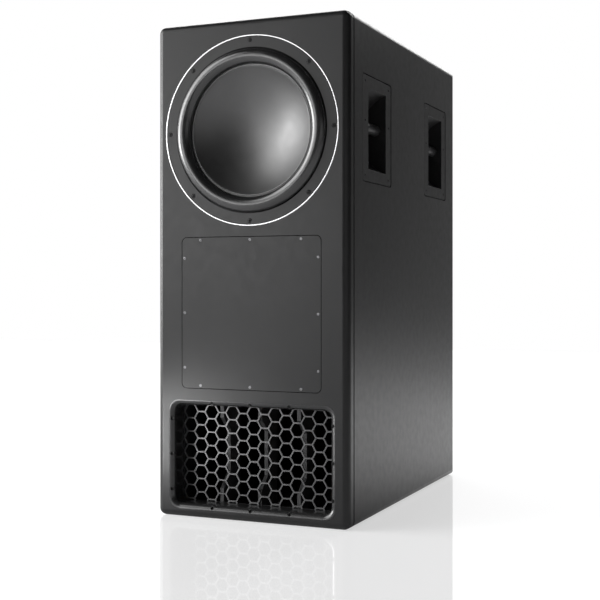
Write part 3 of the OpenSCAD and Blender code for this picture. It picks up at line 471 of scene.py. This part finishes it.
def grown(carrier, tree, values):
    """Runs a tree on an object and returns the result as a plain mesh, with the modifier gone."""
    modifier = carrier.modifiers.new(tree.name, "NODES")
    modifier.node_group = tree
    for item in tree.interface.items_tree:
        if item.in_out == "INPUT" and item.name in values:
            modifier[item.identifier] = values[item.name]
    bpy.context.view_layer.update()
    ready = carrier.evaluated_get(bpy.context.evaluated_depsgraph_get())
    mesh = bpy.data.meshes.new_from_object(ready)
    carrier.modifiers.remove(modifier)
    bpy.data.objects.remove(carrier)
    return mesh


def points_carrier(name, places, ways):
    """A mesh of loose points, each with the way it faces."""
    mesh = bpy.data.meshes.new(name)
    mesh.from_pydata([tuple(p) for p in places], [], [])
    facing = mesh.attributes.new("facing", "FLOAT_VECTOR", "POINT")
    for i, way in enumerate(ways):
        facing.data[i].vector = way
    return add_object(name, mesh)


screw_tree, given, made = named_tree("Screws on their seats", [
    ("Screw", "NodeSocketObject", None), ("Size", "NodeSocketFloat", 1.0),
    ("Finish", "NodeSocketMaterial", None), ("Socket turn", "NodeSocketFloat", math.pi / 3),
    ("Seed", "NodeSocketInt", 7)])
template = add_node(screw_tree, "GeometryNodeObjectInfo", Object=given.outputs["Screw"])
facing = add_node(screw_tree, "GeometryNodeInputNamedAttribute", [("data_type", "FLOAT_VECTOR")],
                  Name="facing")
upright = add_node(screw_tree, "FunctionNodeAlignRotationToVector", [("axis", "Z")],
                   Vector=facing.outputs["Attribute"])
chance = add_node(screw_tree, "FunctionNodeRandomValue", [("data_type", "FLOAT")])
screw_tree.links.new(given.outputs["Socket turn"], chance.inputs[3])
screw_tree.links.new(given.outputs["Seed"], chance.inputs["Seed"])
twist = add_node(screw_tree, "FunctionNodeAxisAngleToRotation", Axis=(0, 0, 1),
                 Angle=chance.outputs[1])
turned_screw = add_node(screw_tree, "FunctionNodeRotateRotation", [("rotation_space", "LOCAL")],
                        Rotation=upright.outputs["Rotation"], Rotate_By=twist.outputs["Rotation"])
copies = add_node(screw_tree, "GeometryNodeInstanceOnPoints", Points=given.outputs["Geometry"],
                  Instance=template.outputs["Geometry"], Rotation=turned_screw.outputs["Rotation"],
                  Scale=given.outputs["Size"])
real = add_node(screw_tree, "GeometryNodeRealizeInstances", Geometry=copies.outputs["Instances"])
coated = add_node(screw_tree, "GeometryNodeSetMaterial", Geometry=real.outputs["Geometry"],
                  Material=given.outputs["Finish"])
screw_tree.links.new(coated.outputs["Geometry"], made.inputs["Geometry"])

black_steel = textured_finish("blackened steel", (0.010, 0.010, 0.0105), roughness=0.36,
                              grain=3000.0, depth=0.00001, metallic=0.3)
zinc = textured_finish("zinc plate", (0.30, 0.30, 0.31), roughness=0.34, grain=2600.0,
                       depth=0.00001, metallic=1.0)
for node, head, facing_way, finish in (
        ("driver_screws", DRIVER_HEAD, (0, -1, 0), black_steel),
        ("vent_screws", VENT_HEAD, (0, -1, 0), black_steel),
        ("access_screws", ACCESS_HEAD, (0, -1, 0), zinc),
        ("handle_screws", HANDLE_HEAD, (1, 0, 0), black_steel),
        ("amp_screws", AMP_HEAD, (0, 1, 0), black_steel)):
    template_screw = add_object("template screw", socket_screw(*head))
    seats = screw_seats(node, facing_way)
    carrier = points_carrier(node + "_seats", [s[0] for s in seats], [s[1] for s in seats])
    mesh = grown(carrier, screw_tree, {"Screw": template_screw, "Finish": finish})
    bpy.data.objects.remove(template_screw)
    stands_for(add_object(node + "_finished", mesh), node)

# ---- Driver's frame, clamp ring and trim ring ----
# A cast aluminium basket in black powder coat sits in the baffle's rebate. A painted ring clamps
# the surround to it with eight screws, and a thin polished aluminium ring is pressed round it.
ROUND_STEPS = 192
TURNED_SHARP = 40.0
TRIM_WIDTH = 0.0028
TRIM_BEAD = 0.0005

front_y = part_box("front_baffle")[0][1]
trim_low, trim_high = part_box("driver_trim_ring")
axis_z = (trim_low[2] + trim_high[2]) / 2


def turned(name, section, material, steps=ROUND_STEPS):
    """Spins a closed section of (radius, depth behind the baffle) round the driver's axis."""
    shape = bmesh.new()
    verts = [shape.verts.new((max(r, 0.0), front_y + depth, axis_z)) for r, depth in section]
    edges = [shape.edges.new((a, b)) for a, b in zip(verts, verts[1:] + verts[:1])]
    bmesh.ops.spin(shape, geom=verts + edges, cent=(0, 0, axis_z), axis=(0, 1, 0),
                   angle=2 * math.pi, steps=steps, use_duplicate=False)
    bmesh.ops.remove_doubles(shape, verts=shape.verts, dist=2e-6)
    bmesh.ops.recalc_face_normals(shape, faces=shape.faces)
    mesh = write_shape(shape, bpy.data.meshes.new(name), TURNED_SHARP)
    mesh.materials.append(material)
    return add_object(name, mesh)


def arc(r, depth, radius, start, end, steps):
    """Points on part of a circle in a section: 0 degrees points outwards and 90 to the front."""
    turns = [math.radians(start + (end - start) * i / steps) for i in range(steps + 1)]
    return [(r + radius * math.cos(a), depth - radius * math.sin(a)) for a in turns]


polished = textured_finish("polished aluminium", (0.86, 0.86, 0.87), roughness=0.24, grain=2600.0,
                           depth=0.000006, metallic=1.0)
trim_out = (trim_high[0] - trim_low[0]) / 2
trim_in = trim_out - TRIM_WIDTH
trim_front = trim_low[1] - front_y
trim_back = trim_high[1] - front_y
stands_for(turned("driver_trim_ring_finished",
                  arc(trim_out - TRIM_BEAD, trim_front + TRIM_BEAD, TRIM_BEAD, 0, 90, 4)
                  + arc(trim_in + TRIM_BEAD, trim_front + TRIM_BEAD, TRIM_BEAD, 90, 180, 4)
                  + [(trim_in, trim_back), (trim_out, trim_back)], polished), "driver_trim_ring")
dress("driver_clamp_ring", charcoal_paint, soften=0.0006, segments=3)
cast_coat = textured_finish("basket powder coat", (0.016, 0.016, 0.016), roughness=0.5,
                            grain=1100.0, depth=0.00006)
dress("driver_basket", cast_coat, soften=0.0008)

# ---- Surround ----
# A single half roll of black butyl rubber with a smooth satin skin. Its outer rim is clamped and
# its inner rim is glued on the cone's lip, so its outer edge stays while its inner edge travels.
ROLL_MIDDLE = 0.155
ROLL_RADIUS = 0.0169
ROLL_END = 3.0
ROLL_FOOT = 0.134
RUBBER = 0.0015
RIM_DEPTH = 0.0035
BEAD_MIDDLE = 0.1352
BEAD_RADIUS = 0.0011
BEAD_SINK = 0.0001
BEAD_OUT = BEAD_MIDDLE + BEAD_RADIUS
RUBBER_COLOR = (0.018, 0.018, 0.0185)
RUBBER_IOR = 1.6
RUBBER_SPECULAR = 1.0
BEAD_HIGHLIGHT_GREY = (0.30, 0.30, 0.30)
BEAD_HIGHLIGHT_FADE = 0.0003
ROLL_STEPS = 40
STILL_RADIUS = 0.1718
MOVING_RADIUS = 0.1382
GROOVE_SHADE_IN = 0.0004
GROOVE_SHADE_OUT = 0.0003


def stretch_between(piece, inner, outer):
    """Lets a round piece follow the cone at its inner radius and stay put at its outer one."""
    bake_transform(piece, "cabinet", "cone_assembly", start=(0, front_y, axis_z + outer),
             end=(0, front_y, axis_z + inner))
    share = piece.data.attributes["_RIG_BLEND"]
    for i, vert in enumerate(piece.data.vertices):
        r = math.hypot(vert.co.x, vert.co.z - axis_z)
        u = min(max((outer - r) / (outer - inner), 0.0), 1.0)
        share.data[i].value = u * u * (3 - 2 * u)


rubber = textured_finish("butyl rubber", RUBBER_COLOR, roughness=0.24, grain=2200.0,
                         depth=0.0000015)
tree = rubber.node_tree
shader = tree.nodes["Principled BSDF"]
shader.inputs["IOR"].default_value = RUBBER_IOR
shader.inputs["Specular IOR Level"].default_value = RUBBER_SPECULAR
place = tree.nodes.new("ShaderNodeTexCoord")
across = joined(tree, "ShaderNodeVectorMath", place.outputs["Object"], (1, 0, 1),
                operation="MULTIPLY")["Vector"]
from_axis = joined(tree, "ShaderNodeVectorMath", across, (0, 0, axis_z),
                   operation="DISTANCE")["Value"]
# Painted highlight: a grey band on the inner bead stands in for the light its lip catches.
add_tint(tree, shader, from_axis, BEAD_HIGHLIGHT_GREY, RUBBER_COLOR, (BEAD_OUT - BEAD_HIGHLIGHT_FADE, BEAD_OUT))
# Painted shade: outside the still radius the rubber loses its gloss, so the groove by the clamp ring shows
# black.
groove = add_ramp(tree, from_axis, RUBBER_SPECULAR, 0.0,
                  (STILL_RADIUS - GROOVE_SHADE_IN, STILL_RADIUS + GROOVE_SHADE_OUT))
tree.links.new(groove, shader.inputs["Specular IOR Level"])
rim_out = (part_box("surround")[1][0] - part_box("surround")[0][0]) / 2
middle = RIM_DEPTH + RUBBER / 2
surround = turned("surround_finished",
                  [(rim_out, RIM_DEPTH)]
                  + arc(ROLL_MIDDLE, middle, ROLL_RADIUS, ROLL_END, 180 - ROLL_END, ROLL_STEPS)
                  + arc(BEAD_MIDDLE, RIM_DEPTH + BEAD_SINK, BEAD_RADIUS, 0, 180, 8)
                  + [(ROLL_FOOT, RIM_DEPTH + RUBBER)]
                  + arc(ROLL_MIDDLE, middle, ROLL_RADIUS - RUBBER, 180 - ROLL_END, ROLL_END,
                        ROLL_STEPS)
                  + [(rim_out, RIM_DEPTH + RUBBER)], rubber)
stands_for(surround, "surround", rides=False)
stretch_between(surround, MOVING_RADIUS, STILL_RADIUS)

# ---- Cone and motor ----
# A deep dish of coated paper with no dust cap, glued to the voice coil's former. Behind it are the
# corrugated cloth spider, the coil, and a ferrite magnet between two plates of bright zinc steel.
# The depths are measured from the baffle's face.
DISH_RADIUS = 0.19464
DISH_CENTRE = -0.13664
DISH_WALL = 0.0025
DISH_STEPS = 48
CONE_EDGE = 0.1335
LIP_RADIUS = 0.1392
LIP_FRONT = 0.005
LIP_BACK = 0.007
CONE_COLOR = (0.20, 0.20, 0.20)
BACK_STEP = 0.0005
BAND_SCALE = 0.314  # the Wave Texture's scale for one band a metre


def dish_face(edge, radius):
    """Points from the axis to an edge on a dish that is part of a ball of the given radius."""
    steps = [edge * i / DISH_STEPS for i in range(DISH_STEPS + 1)]
    return [(r, DISH_CENTRE + math.sqrt(radius * radius - r * r)) for r in steps]


cone_finish = textured_finish("coated cone", CONE_COLOR, roughness=0.46, grain=1300.0,
                              depth=0.000012, metallic=0.97, mottle=0.03, spread=0.02)
front_face = dish_face(CONE_EDGE, DISH_RADIUS)
back_face = dish_face(CONE_EDGE + BACK_STEP, DISH_RADIUS + DISH_WALL)[::-1]
lip = [(LIP_RADIUS, LIP_FRONT), (LIP_RADIUS, LIP_BACK)]
stands_for(turned("cone_finished", front_face + lip + back_face, cone_finish), "cone")


def add_bands(tree, per_metre, direction):
    """Straight bands across one axis, such as windings or threads."""
    place = tree.nodes.new("ShaderNodeTexCoord")
    wave = tree.nodes.new("ShaderNodeTexWave")
    wave.bands_direction = direction
    wave.inputs["Scale"].default_value = per_metre * BAND_SCALE
    tree.links.new(place.outputs["Object"], wave.inputs["Vector"])
    return wave.outputs["Fac"]


former_paper, tree, shader = new_material("former", (0.45, 0.24, 0.10), 0.45)
fibres = add_noise(tree, 60.0, detail=4.0, stretch=(1, 6, 1))
add_tint(tree, shader, fibres, (0.33, 0.16, 0.06), (0.5, 0.28, 0.12))
coat("coil_former", former_paper)
winding, tree, shader = new_material("copper winding", (0.62, 0.26, 0.10), 0.3, 1.0)
turns = add_bands(tree, 2500.0, "Y")
add_tint(tree, shader, turns, (0.30, 0.11, 0.04), (0.72, 0.32, 0.13))
add_bump(tree, shader, turns, depth=0.0001)
coat("voice_coil", winding)

SPIDER_IN = 0.05065
SPIDER_OUT = 0.079
SPIDER_RIM = 0.095
SPIDER_DEPTH = 0.0848
SPIDER_STEPS = 96
SPIDER_POINTS = 120
COLLAR_HEIGHT = 0.003
COLLAR_WALL = 0.0009
WAVES_FROM = SPIDER_IN + 0.001
SPIDER_FREE = SPIDER_IN + 0.002
LEAD_COIL_END = 0.053
LEAD_FRAME_END = 0.105
CLOTH = 0.0012
WAVE_HEIGHT = 0.002
WAVES = 4.5


def corrugation(u):
    """The depth of the spider's waves, from 0 at its inner rim to 1 at its outer one."""
    wave = math.sin(math.radians(360 * WAVES * u))
    return SPIDER_DEPTH - WAVE_HEIGHT * wave * math.sin(math.pi * u)


cloth, tree, shader = new_material("spider cloth", (0.42, 0.30, 0.12), 0.85)
warp = add_bands(tree, 900.0, "X")
weft = add_bands(tree, 900.0, "Z")
weave = joined(tree, "ShaderNodeMath", warp, weft, operation="MAXIMUM")["Value"]
add_tint(tree, shader, weave, (0.24, 0.16, 0.06), (0.5, 0.37, 0.17))
add_bump(tree, shader, weave, depth=0.0002)
steps = [i / SPIDER_POINTS for i in range(SPIDER_POINTS + 1)]
wavy = [(WAVES_FROM + (SPIDER_OUT - WAVES_FROM) * u, corrugation(u)) for u in steps]
collar = SPIDER_DEPTH - COLLAR_HEIGHT
spider = turned("spider_finished",
                [(SPIDER_IN, collar), (SPIDER_IN + COLLAR_WALL, collar)] + wavy
                + [(SPIDER_RIM, SPIDER_DEPTH), (SPIDER_RIM, SPIDER_DEPTH + CLOTH)]
                + [(r, depth + CLOTH) for r, depth in reversed(wavy)]
                + [(SPIDER_IN, SPIDER_DEPTH + CLOTH)], cloth, SPIDER_STEPS)
stands_for(spider, "spider", rides=False)
stretch_between(spider, SPIDER_FREE, SPIDER_OUT)

leads = stands_for(smooth_copy("tinsel_leads", sharp=50.0), "tinsel_leads", brass, rides=False)
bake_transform(leads, "cone_assembly", "cabinet", start=(0, front_y, axis_z - LEAD_COIL_END),
         end=(0, front_y, axis_z - LEAD_FRAME_END))

zinc_steel = textured_finish("zinc steel", (0.45, 0.44, 0.38), roughness=0.38, grain=1800.0,
                             depth=0.00002, metallic=1.0)
ferrite = textured_finish("ferrite", (0.02, 0.02, 0.021), roughness=0.55, grain=900.0, depth=0.0001)
terminal_board = textured_finish("terminal board", (0.22, 0.09, 0.04), roughness=0.5, grain=1500.0,
                                 depth=0.00003)
dress("magnet_top_plate", zinc_steel, soften=0.0008)
dress("magnet_back_plate", zinc_steel, soften=0.0008)
dress("magnet", ferrite, soften=0.0012)
coat("driver_terminal", terminal_board)
cable_rubber = textured_finish("cable sheath", (0.012, 0.012, 0.012), roughness=0.5, grain=1500.0,
                               depth=0.00003)
dress("driver_cable", cable_rubber, sharp=50.0)

# ---- Handles ----
# Four moulded cups, each let into the side by the thickness of its plate and held by six screws. A
# grip bar of grey plastic crosses the scooped recess, pinned into its two walls.
HANDLE_PLASTIC = (0.021, 0.021, 0.0215)
BAR_PLASTIC = (0.045, 0.045, 0.046)

handle_plastic = textured_finish("handle plastic", HANDLE_PLASTIC, roughness=0.4, grain=1300.0,
                                 depth=0.00003)
bar_plastic = textured_finish("grip bar plastic", BAR_PLASTIC, roughness=0.42, grain=1200.0,
                              depth=0.00004)
for side in ("left", "right"):
    for row in ("front", "rear"):
        dress(f"handle_cup_{side}_{row}", handle_plastic, soften=0.0009, segments=3)
        dress(f"handle_bar_{side}_{row}", bar_plastic, soften=0.0004)

# ---- Amplifier ----
# The amplifier hangs on a folded aluminium plate screwed over the hole in the back. Its heat sink
# is an anodised extrusion. Behind the plate are a steel cover, a board and a toroidal transformer.
PLATE_PAINT = (0.02, 0.02, 0.0205)
ANODISED = (0.03, 0.03, 0.032)
ANODISED_DARK = 0.02
ANODISED_LIGHT = 0.045
MARK_COLOR = (0.62, 0.62, 0.62)
TICKS = 11
TICK_SWEEP = math.radians(280)
TICK_RING = 0.0128
TICK_LENGTH = 0.0026
TICK_WIDTH = 0.0007
INK_SINK = 0.00002
INK_RISE = 0.00006

plate_paint = textured_finish("plate powder coat", PLATE_PAINT, roughness=0.46, grain=1500.0,
                              depth=0.00006)
dress("amp_plate", plate_paint, soften=0.0005)
anodised, tree, shader = new_material("black anodised aluminium", ANODISED, 0.4, 0.7)
drawn = add_noise(tree, 300.0, detail=3.0, stretch=(1.0, 1.0, 0.02))
add_tint(tree, shader, drawn, ANODISED_DARK, ANODISED_LIGHT)
add_bump(tree, shader, drawn, depth=0.00003)
dress("heat_sink", anodised, soften=0.0004)

steel_sheet = textured_finish("zinc-coated sheet", (0.42, 0.42, 0.41), roughness=0.36, grain=700.0,
                              depth=0.00003, metallic=1.0)
dress("amp_cover", steel_sheet, soften=0.0006)
board_green = textured_finish("circuit board", (0.01, 0.07, 0.03), roughness=0.35, grain=1600.0,
                              depth=0.00003)
coat("amp_board", board_green)
sleeve = textured_finish("capacitor sleeve", (0.015, 0.02, 0.05), roughness=0.3, grain=1800.0,
                         depth=0.00001)
dress("capacitors", sleeve, soften=0.001)
coat("transformer", winding)


def flat_box(name, low, high, material):
    """A small closed box between two corners."""
    shape = bmesh.new()
    bmesh.ops.create_cube(shape, size=1.0)
    size = [b - a for a, b in zip(low, high)]
    for vert in shape.verts:
        vert.co = Vector([a + s * (c + 0.5) for a, s, c in zip(low, size, vert.co)])
    mesh = write_shape(shape, bpy.data.meshes.new(name))
    mesh.materials.append(material)
    return add_object(name, mesh)


def knob_axis(knob):
    """The x and z of a knob's axis: its round body fills the lower part of its box."""
    low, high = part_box(knob)
    return (low[0] + high[0]) / 2, low[2] + (high[0] - low[0]) / 2


tick_tree, given, made = named_tree("Printed scale", [
    ("Tick", "NodeSocketObject", None), ("Ticks", "NodeSocketInt", TICKS),
    ("Ring", "NodeSocketFloat", TICK_RING), ("Sweep", "NodeSocketFloat", TICK_SWEEP),
    ("Ink", "NodeSocketMaterial", None)])
ring_points = add_node(tick_tree, "GeometryNodeMeshLine", Count=given.outputs["Ticks"],
                       Offset=(0, 0, 0))
number = add_node(tick_tree, "GeometryNodeInputIndex").outputs["Index"]
last = joined(tick_tree, "ShaderNodeMath", given.outputs["Ticks"], 1.0, operation="SUBTRACT")[0]
share = joined(tick_tree, "ShaderNodeMath", number, last, operation="DIVIDE")[0]
centred = joined(tick_tree, "ShaderNodeMath", share, 0.5, operation="SUBTRACT")[0]
angle = joined(tick_tree, "ShaderNodeMath", centred, given.outputs["Sweep"],
               operation="MULTIPLY")[0]
round_y = add_node(tick_tree, "FunctionNodeAxisAngleToRotation", Axis=(0, 1, 0), Angle=angle)
outwards = add_node(tick_tree, "ShaderNodeCombineXYZ", Z=given.outputs["Ring"])
spot = add_node(tick_tree, "FunctionNodeRotateVector", Vector=outwards.outputs["Vector"],
                Rotation=round_y.outputs["Rotation"])
placed = add_node(tick_tree, "GeometryNodeSetPosition", Geometry=ring_points.outputs["Mesh"],
                  Position=spot.outputs["Vector"])
tick_shape = add_node(tick_tree, "GeometryNodeObjectInfo", Object=given.outputs["Tick"])
ticks = add_node(tick_tree, "GeometryNodeInstanceOnPoints", Points=placed.outputs["Geometry"],
                 Instance=tick_shape.outputs["Geometry"], Rotation=round_y.outputs["Rotation"])
real = add_node(tick_tree, "GeometryNodeRealizeInstances", Geometry=ticks.outputs["Instances"])
inked = add_node(tick_tree, "GeometryNodeSetMaterial", Geometry=real.outputs["Geometry"],
                 Material=given.outputs["Ink"])
tick_tree.links.new(inked.outputs["Geometry"], made.inputs["Geometry"])

ink = textured_finish("printed marks", MARK_COLOR, roughness=0.55, grain=2500.0, depth=0.000005)
plate_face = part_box("heat_sink")[0][1]
for knob in ("level_knob", "crossover_knob"):
    centre_x, centre_z = knob_axis(knob)
    tick = flat_box("tick", (-TICK_WIDTH / 2, -INK_SINK, 0),
                    (TICK_WIDTH / 2, INK_RISE, TICK_LENGTH), ink)
    carrier = points_carrier(knob + "_scale", [(0, 0, 0)], [(0, 0, 1)])
    mesh = grown(carrier, tick_tree, {"Tick": tick, "Ink": ink})
    bpy.data.objects.remove(tick)
    mesh.transform(Matrix.Translation((centre_x, plate_face, centre_z)))
    scale = add_object(knob + "_scale", mesh)
    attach(scale, "cabinet")

# ---- Sockets and switch ----
# Moulded nylon housings snap or screw into the plate: a three-pin mains inlet, a rocker switch, and
# a three-pin input and output for the signal. Their pins are nickel-plated brass.
NYLON = (0.014, 0.014, 0.014)
MAINS_SPOTS = [(0, 0.0035), (-0.007, -0.0025), (0.007, -0.0025)]
MAINS_PIN = (0.00104, 0.00204)
MAINS_DEPTHS = (-0.0168, -0.0048)
SIGNAL_RING = 0.0046
SIGNAL_TURNS = [math.radians(angle) for angle in (90, 210, 330)]
SIGNAL_SPOTS = [(SIGNAL_RING * math.cos(a), SIGNAL_RING * math.sin(a)) for a in SIGNAL_TURNS]
SIGNAL_PIN = (0.00122, 0.00122)
SIGNAL_DEPTHS = (-0.0158, -0.0049)
PIN_EDGE = 0.0003

nylon = textured_finish("moulded nylon", NYLON, roughness=0.42, grain=1500.0, depth=0.00003)
nickel = textured_finish("nickel plate", (0.62, 0.60, 0.56), roughness=0.25, grain=2400.0,
                         depth=0.000005, metallic=1.0)
for node in ("mains_inlet", "switch_housing", "xlr_input", "xlr_output"):
    dress(node, nylon, soften=0.0003)
dress("xlr_latch", nickel, soften=0.0003)
rocker_nylon = textured_finish("rocker nylon", (0.02, 0.02, 0.02), roughness=0.3, grain=1500.0,
                               depth=0.00002)
dress("switch_rocker", rocker_nylon, soften=0.0003)


def sheathe_pins(name, node, spots, half, depths):
    """Plated skins over a socket's pins.

    Their spots are measured from the socket's middle, half holds half their width and height, and
    their depths run from the socket's outer face, from the inner end to the tip.
    """
    low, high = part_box(node)
    shape = bmesh.new()
    for x, z in spots:
        made = bmesh.ops.create_cube(shape, size=1.0)["verts"]
        for vert in made:
            vert.co = Vector(((low[0] + high[0]) / 2 + x + vert.co.x * 2 * half[0],
                              high[1] + depths[0] + (vert.co.y + 0.5) * (depths[1] - depths[0]),
                              (low[2] + high[2]) / 2 + z + vert.co.z * 2 * half[1]))
    bmesh.ops.bevel(shape, geom=shape.edges[:], offset=PIN_EDGE, segments=2, affect="EDGES")
    mesh = write_shape(shape, bpy.data.meshes.new(name))
    mesh.materials.append(nickel)
    piece = add_object(name, mesh)
    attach(piece, "cabinet")


sheathe_pins("mains_pins", "mains_inlet", MAINS_SPOTS, MAINS_PIN, MAINS_DEPTHS)
sheathe_pins("output_pins", "xlr_output", SIGNAL_SPOTS, SIGNAL_PIN, SIGNAL_DEPTHS)

# ---- Controls and indicator ----
# Two moulded knobs on plated shafts set the level and the crossover. Each has a white line in its
# groove, and a clear blue lens beside them shows that the power is on.
LINE_WIDTH = 0.0008
LINE_SPAN = (0.001, 0.0066)
LINE_SUNK = (0.00095, 0.0008)
LENS_GLOW = (0.05, 0.2, 0.9, 1)

knob_plastic = textured_finish("knob plastic", (0.016, 0.016, 0.016), roughness=0.38, grain=1600.0,
                               depth=0.00003)
dress("level_knob", knob_plastic, soften=0.0005)
dress("crossover_knob", knob_plastic, soften=0.0005)
dress("control_pots", nickel, soften=0.0003)
for knob, body in (("level_knob", "level_control"), ("crossover_knob", "crossover_control")):
    centre_x, centre_z = knob_axis(knob)
    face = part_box(knob)[1][1]
    line = flat_box(
        knob + "_line",
        (centre_x - LINE_WIDTH / 2, face - LINE_SUNK[0], centre_z + LINE_SPAN[0]),
        (centre_x + LINE_WIDTH / 2, face - LINE_SUNK[1], centre_z + LINE_SPAN[1]), ink)
    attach(line, body)

lens, tree, shader = new_material("indicator lens", (0.05, 0.16, 0.5), 0.12)
add_tint(tree, shader, add_noise(tree, 800.0), (0.04, 0.13, 0.42), (0.06, 0.2, 0.6))
shader.inputs["Emission Color"].default_value = LENS_GLOW
shader.inputs["Emission Strength"].default_value = 0.4
dress("status_led", lens, sharp=60.0)

# ---- Studio ----
# A white glossy floor and a white surround. Wide softboxes stand at the left and the front left,
# one above the other, with faint fills in front, at the right and behind. The room is dark to the
# right, which keeps the black finishes black.
FLOOR_HALF = 6.0
FLOOR_DROP = 0.0005
FLOOR_COLOR = (0.8, 0.8, 0.81, 1)
FLOOR_GLOW = 1.08
FLOOR_GLOSS = 0.46
FLOOR_ROUGHNESS = 0.012
POOL_CENTRE = (1.0, 1.35, 0.0)
POOL_REACH = 1.9
POOL_GLOW = 0.75
FAR_GLOW = 0.08
WHITE = (1, 1, 1, 1)
WORLD_DIFFUSE = 0.04
WORLD_MIRROR_LOW = 0.07
WORLD_MIRROR_HIGH = 0.02
WHITE_SIDE = (-0.72, 0.69, 0.0)
WHITE_ACROSS = (0.4, 0.72)
WHITE_UP = (0.35, 0.7)


def floor_material():
    """White to the camera with a faint mirror image; in other mirrors it glows in one pool only."""
    material = bpy.data.materials.new("studio floor")
    material.use_nodes = True
    tree = material.node_tree
    tree.nodes.clear()
    out = tree.nodes.new("ShaderNodeOutputMaterial")
    path = tree.nodes.new("ShaderNodeLightPath").outputs
    place = tree.nodes.new("ShaderNodeTexCoord").outputs["Object"]
    diffuse = joined(tree, "ShaderNodeBsdfDiffuse", FLOOR_COLOR)[0]
    glow = joined(tree, "ShaderNodeEmission", WHITE, FLOOR_GLOW)[0]
    gloss = add_node(tree, "ShaderNodeBsdfGlossy", Roughness=FLOOR_ROUGHNESS).outputs[0]
    lit = joined(tree, "ShaderNodeAddShader", diffuse, glow)[0]
    mixed = joined(tree, "ShaderNodeMixShader", FLOOR_GLOSS, lit, gloss)[0]
    away = joined(tree, "ShaderNodeVectorMath", place, POOL_CENTRE, operation="DISTANCE")["Value"]
    reach = joined(tree, "ShaderNodeMath", away, POOL_REACH, operation="DIVIDE")[0]
    pool = add_ramp(tree, reach, POOL_GLOW, FAR_GLOW, (0.5, 1.0))
    mirror_glow = joined(tree, "ShaderNodeEmission", WHITE, pool)[0]
    in_mirror = joined(tree, "ShaderNodeAddShader", diffuse, mirror_glow)[0]
    other = joined(tree, "ShaderNodeMixShader", path["Is Glossy Ray"], diffuse, in_mirror)[0]
    seen = joined(tree, "ShaderNodeMixShader", path["Is Camera Ray"], other, mixed)[0]
    tree.links.new(seen, out.inputs["Surface"])
    return material


def world_light():
    """White for the camera, dim for the rest; in reflections white only low at the back left."""
    world = bpy.data.worlds.new("studio")
    scene.world = world
    world.use_nodes = True
    tree = world.node_tree
    tree.nodes.clear()
    out = tree.nodes.new("ShaderNodeOutputWorld")
    path = tree.nodes.new("ShaderNodeLightPath").outputs
    way = tree.nodes.new("ShaderNodeTexCoord").outputs["Generated"]
    up = joined(tree, "ShaderNodeSeparateXYZ", way)["Z"]
    height = add_ramp(tree, up, WORLD_MIRROR_LOW, WORLD_MIRROR_HIGH, (0.0, 0.3))
    side = joined(tree, "ShaderNodeVectorMath", way, WHITE_SIDE, operation="DOT_PRODUCT")["Value"]
    sideways = add_ramp(tree, side, 0.0, 1.0, WHITE_ACROSS)
    low = add_ramp(tree, up, 1.0, 0.0, WHITE_UP)
    bright = joined(tree, "ShaderNodeMath", sideways, low, operation="MULTIPLY")[0]
    shown = joined(tree, "ShaderNodeMath", height, bright, operation="MAXIMUM")[0]
    white = joined(tree, "ShaderNodeBackground", WHITE)[0]
    dim = joined(tree, "ShaderNodeBackground", WHITE, WORLD_DIFFUSE)[0]
    mirror = add_node(tree, "ShaderNodeBackground", Strength=shown).outputs[0]
    rest = joined(tree, "ShaderNodeMixShader", path["Is Glossy Ray"], dim, mirror)[0]
    mix = joined(tree, "ShaderNodeMixShader", path["Is Camera Ray"], rest, white)[0]
    tree.links.new(mix, out.inputs["Surface"])


floor_mesh = bpy.data.meshes.new("floor")
floor_corners = [(x * FLOOR_HALF, y * FLOOR_HALF, -FLOOR_DROP)
                 for x, y in ((-1, -1), (1, -1), (1, 1), (-1, 1))]
floor_mesh.from_pydata(floor_corners, [], [(0, 1, 2, 3)])
floor_mesh.materials.append(floor_material())
floor = add_object("floor", floor_mesh)
world_light()

ROOM_CENTRE = Vector((0, -0.2, 0.5))
LAMP_DISTANCE = 8.0


def softbox(name, turn, rise, across, up, radiance, target=ROOM_CENTRE,
            distance=LAMP_DISTANCE, spread=180):
    """A rectangular lamp hidden from the camera, placed by its turn from the front to the left.

    The turn, the rise above level and the spans across and up, as the target sees them, and
    the spread of its beam are in degrees.
    """
    turn, rise, across, up = (math.radians(angle) for angle in (turn, rise, across, up))
    level = math.cos(rise)
    outward = Vector((-math.sin(turn) * level, -math.cos(turn) * level, math.sin(rise)))
    lamp = bpy.data.lights.new(name, "AREA")
    lamp.shape = "RECTANGLE"
    lamp.size = 2 * distance * math.tan(across / 2)
    lamp.size_y = 2 * distance * math.tan(up / 2)
    lamp.energy = radiance * math.pi * lamp.size * lamp.size_y
    lamp.spread = math.radians(spread)
    piece = add_object(name, lamp)
    piece.location = target + outward * distance
    piece.rotation_euler = (-outward).to_track_quat("-Z", "Y").to_euler()
    piece.visible_camera = False


softbox("left softbox", turn=70, rise=4, across=30, up=12, radiance=11.3)
softbox("front softbox", turn=30, rise=4, across=20, up=12, radiance=3.2)
softbox("middle left softbox", turn=64, rise=17.5, across=40, up=15, radiance=6.2)
softbox("middle front softbox", turn=30, rise=17.5, across=20, up=15, radiance=1.4)
softbox("upper left softbox", turn=62, rise=35, across=42, up=20, radiance=3.5)
softbox("front fill", turn=10, rise=17.5, across=20, up=15, radiance=0.2)
softbox("right fill", turn=-50, rise=5, across=40, up=14, radiance=0.35)
softbox("low card", turn=42, rise=-9, across=20, up=20, radiance=0.8,
        target=Vector((-0.1, -0.39, 0.2)), distance=0.61, spread=36)
softbox("back fill", turn=168, rise=35, across=50, up=30, radiance=3.0)

scene.view_settings.view_transform = "Standard"
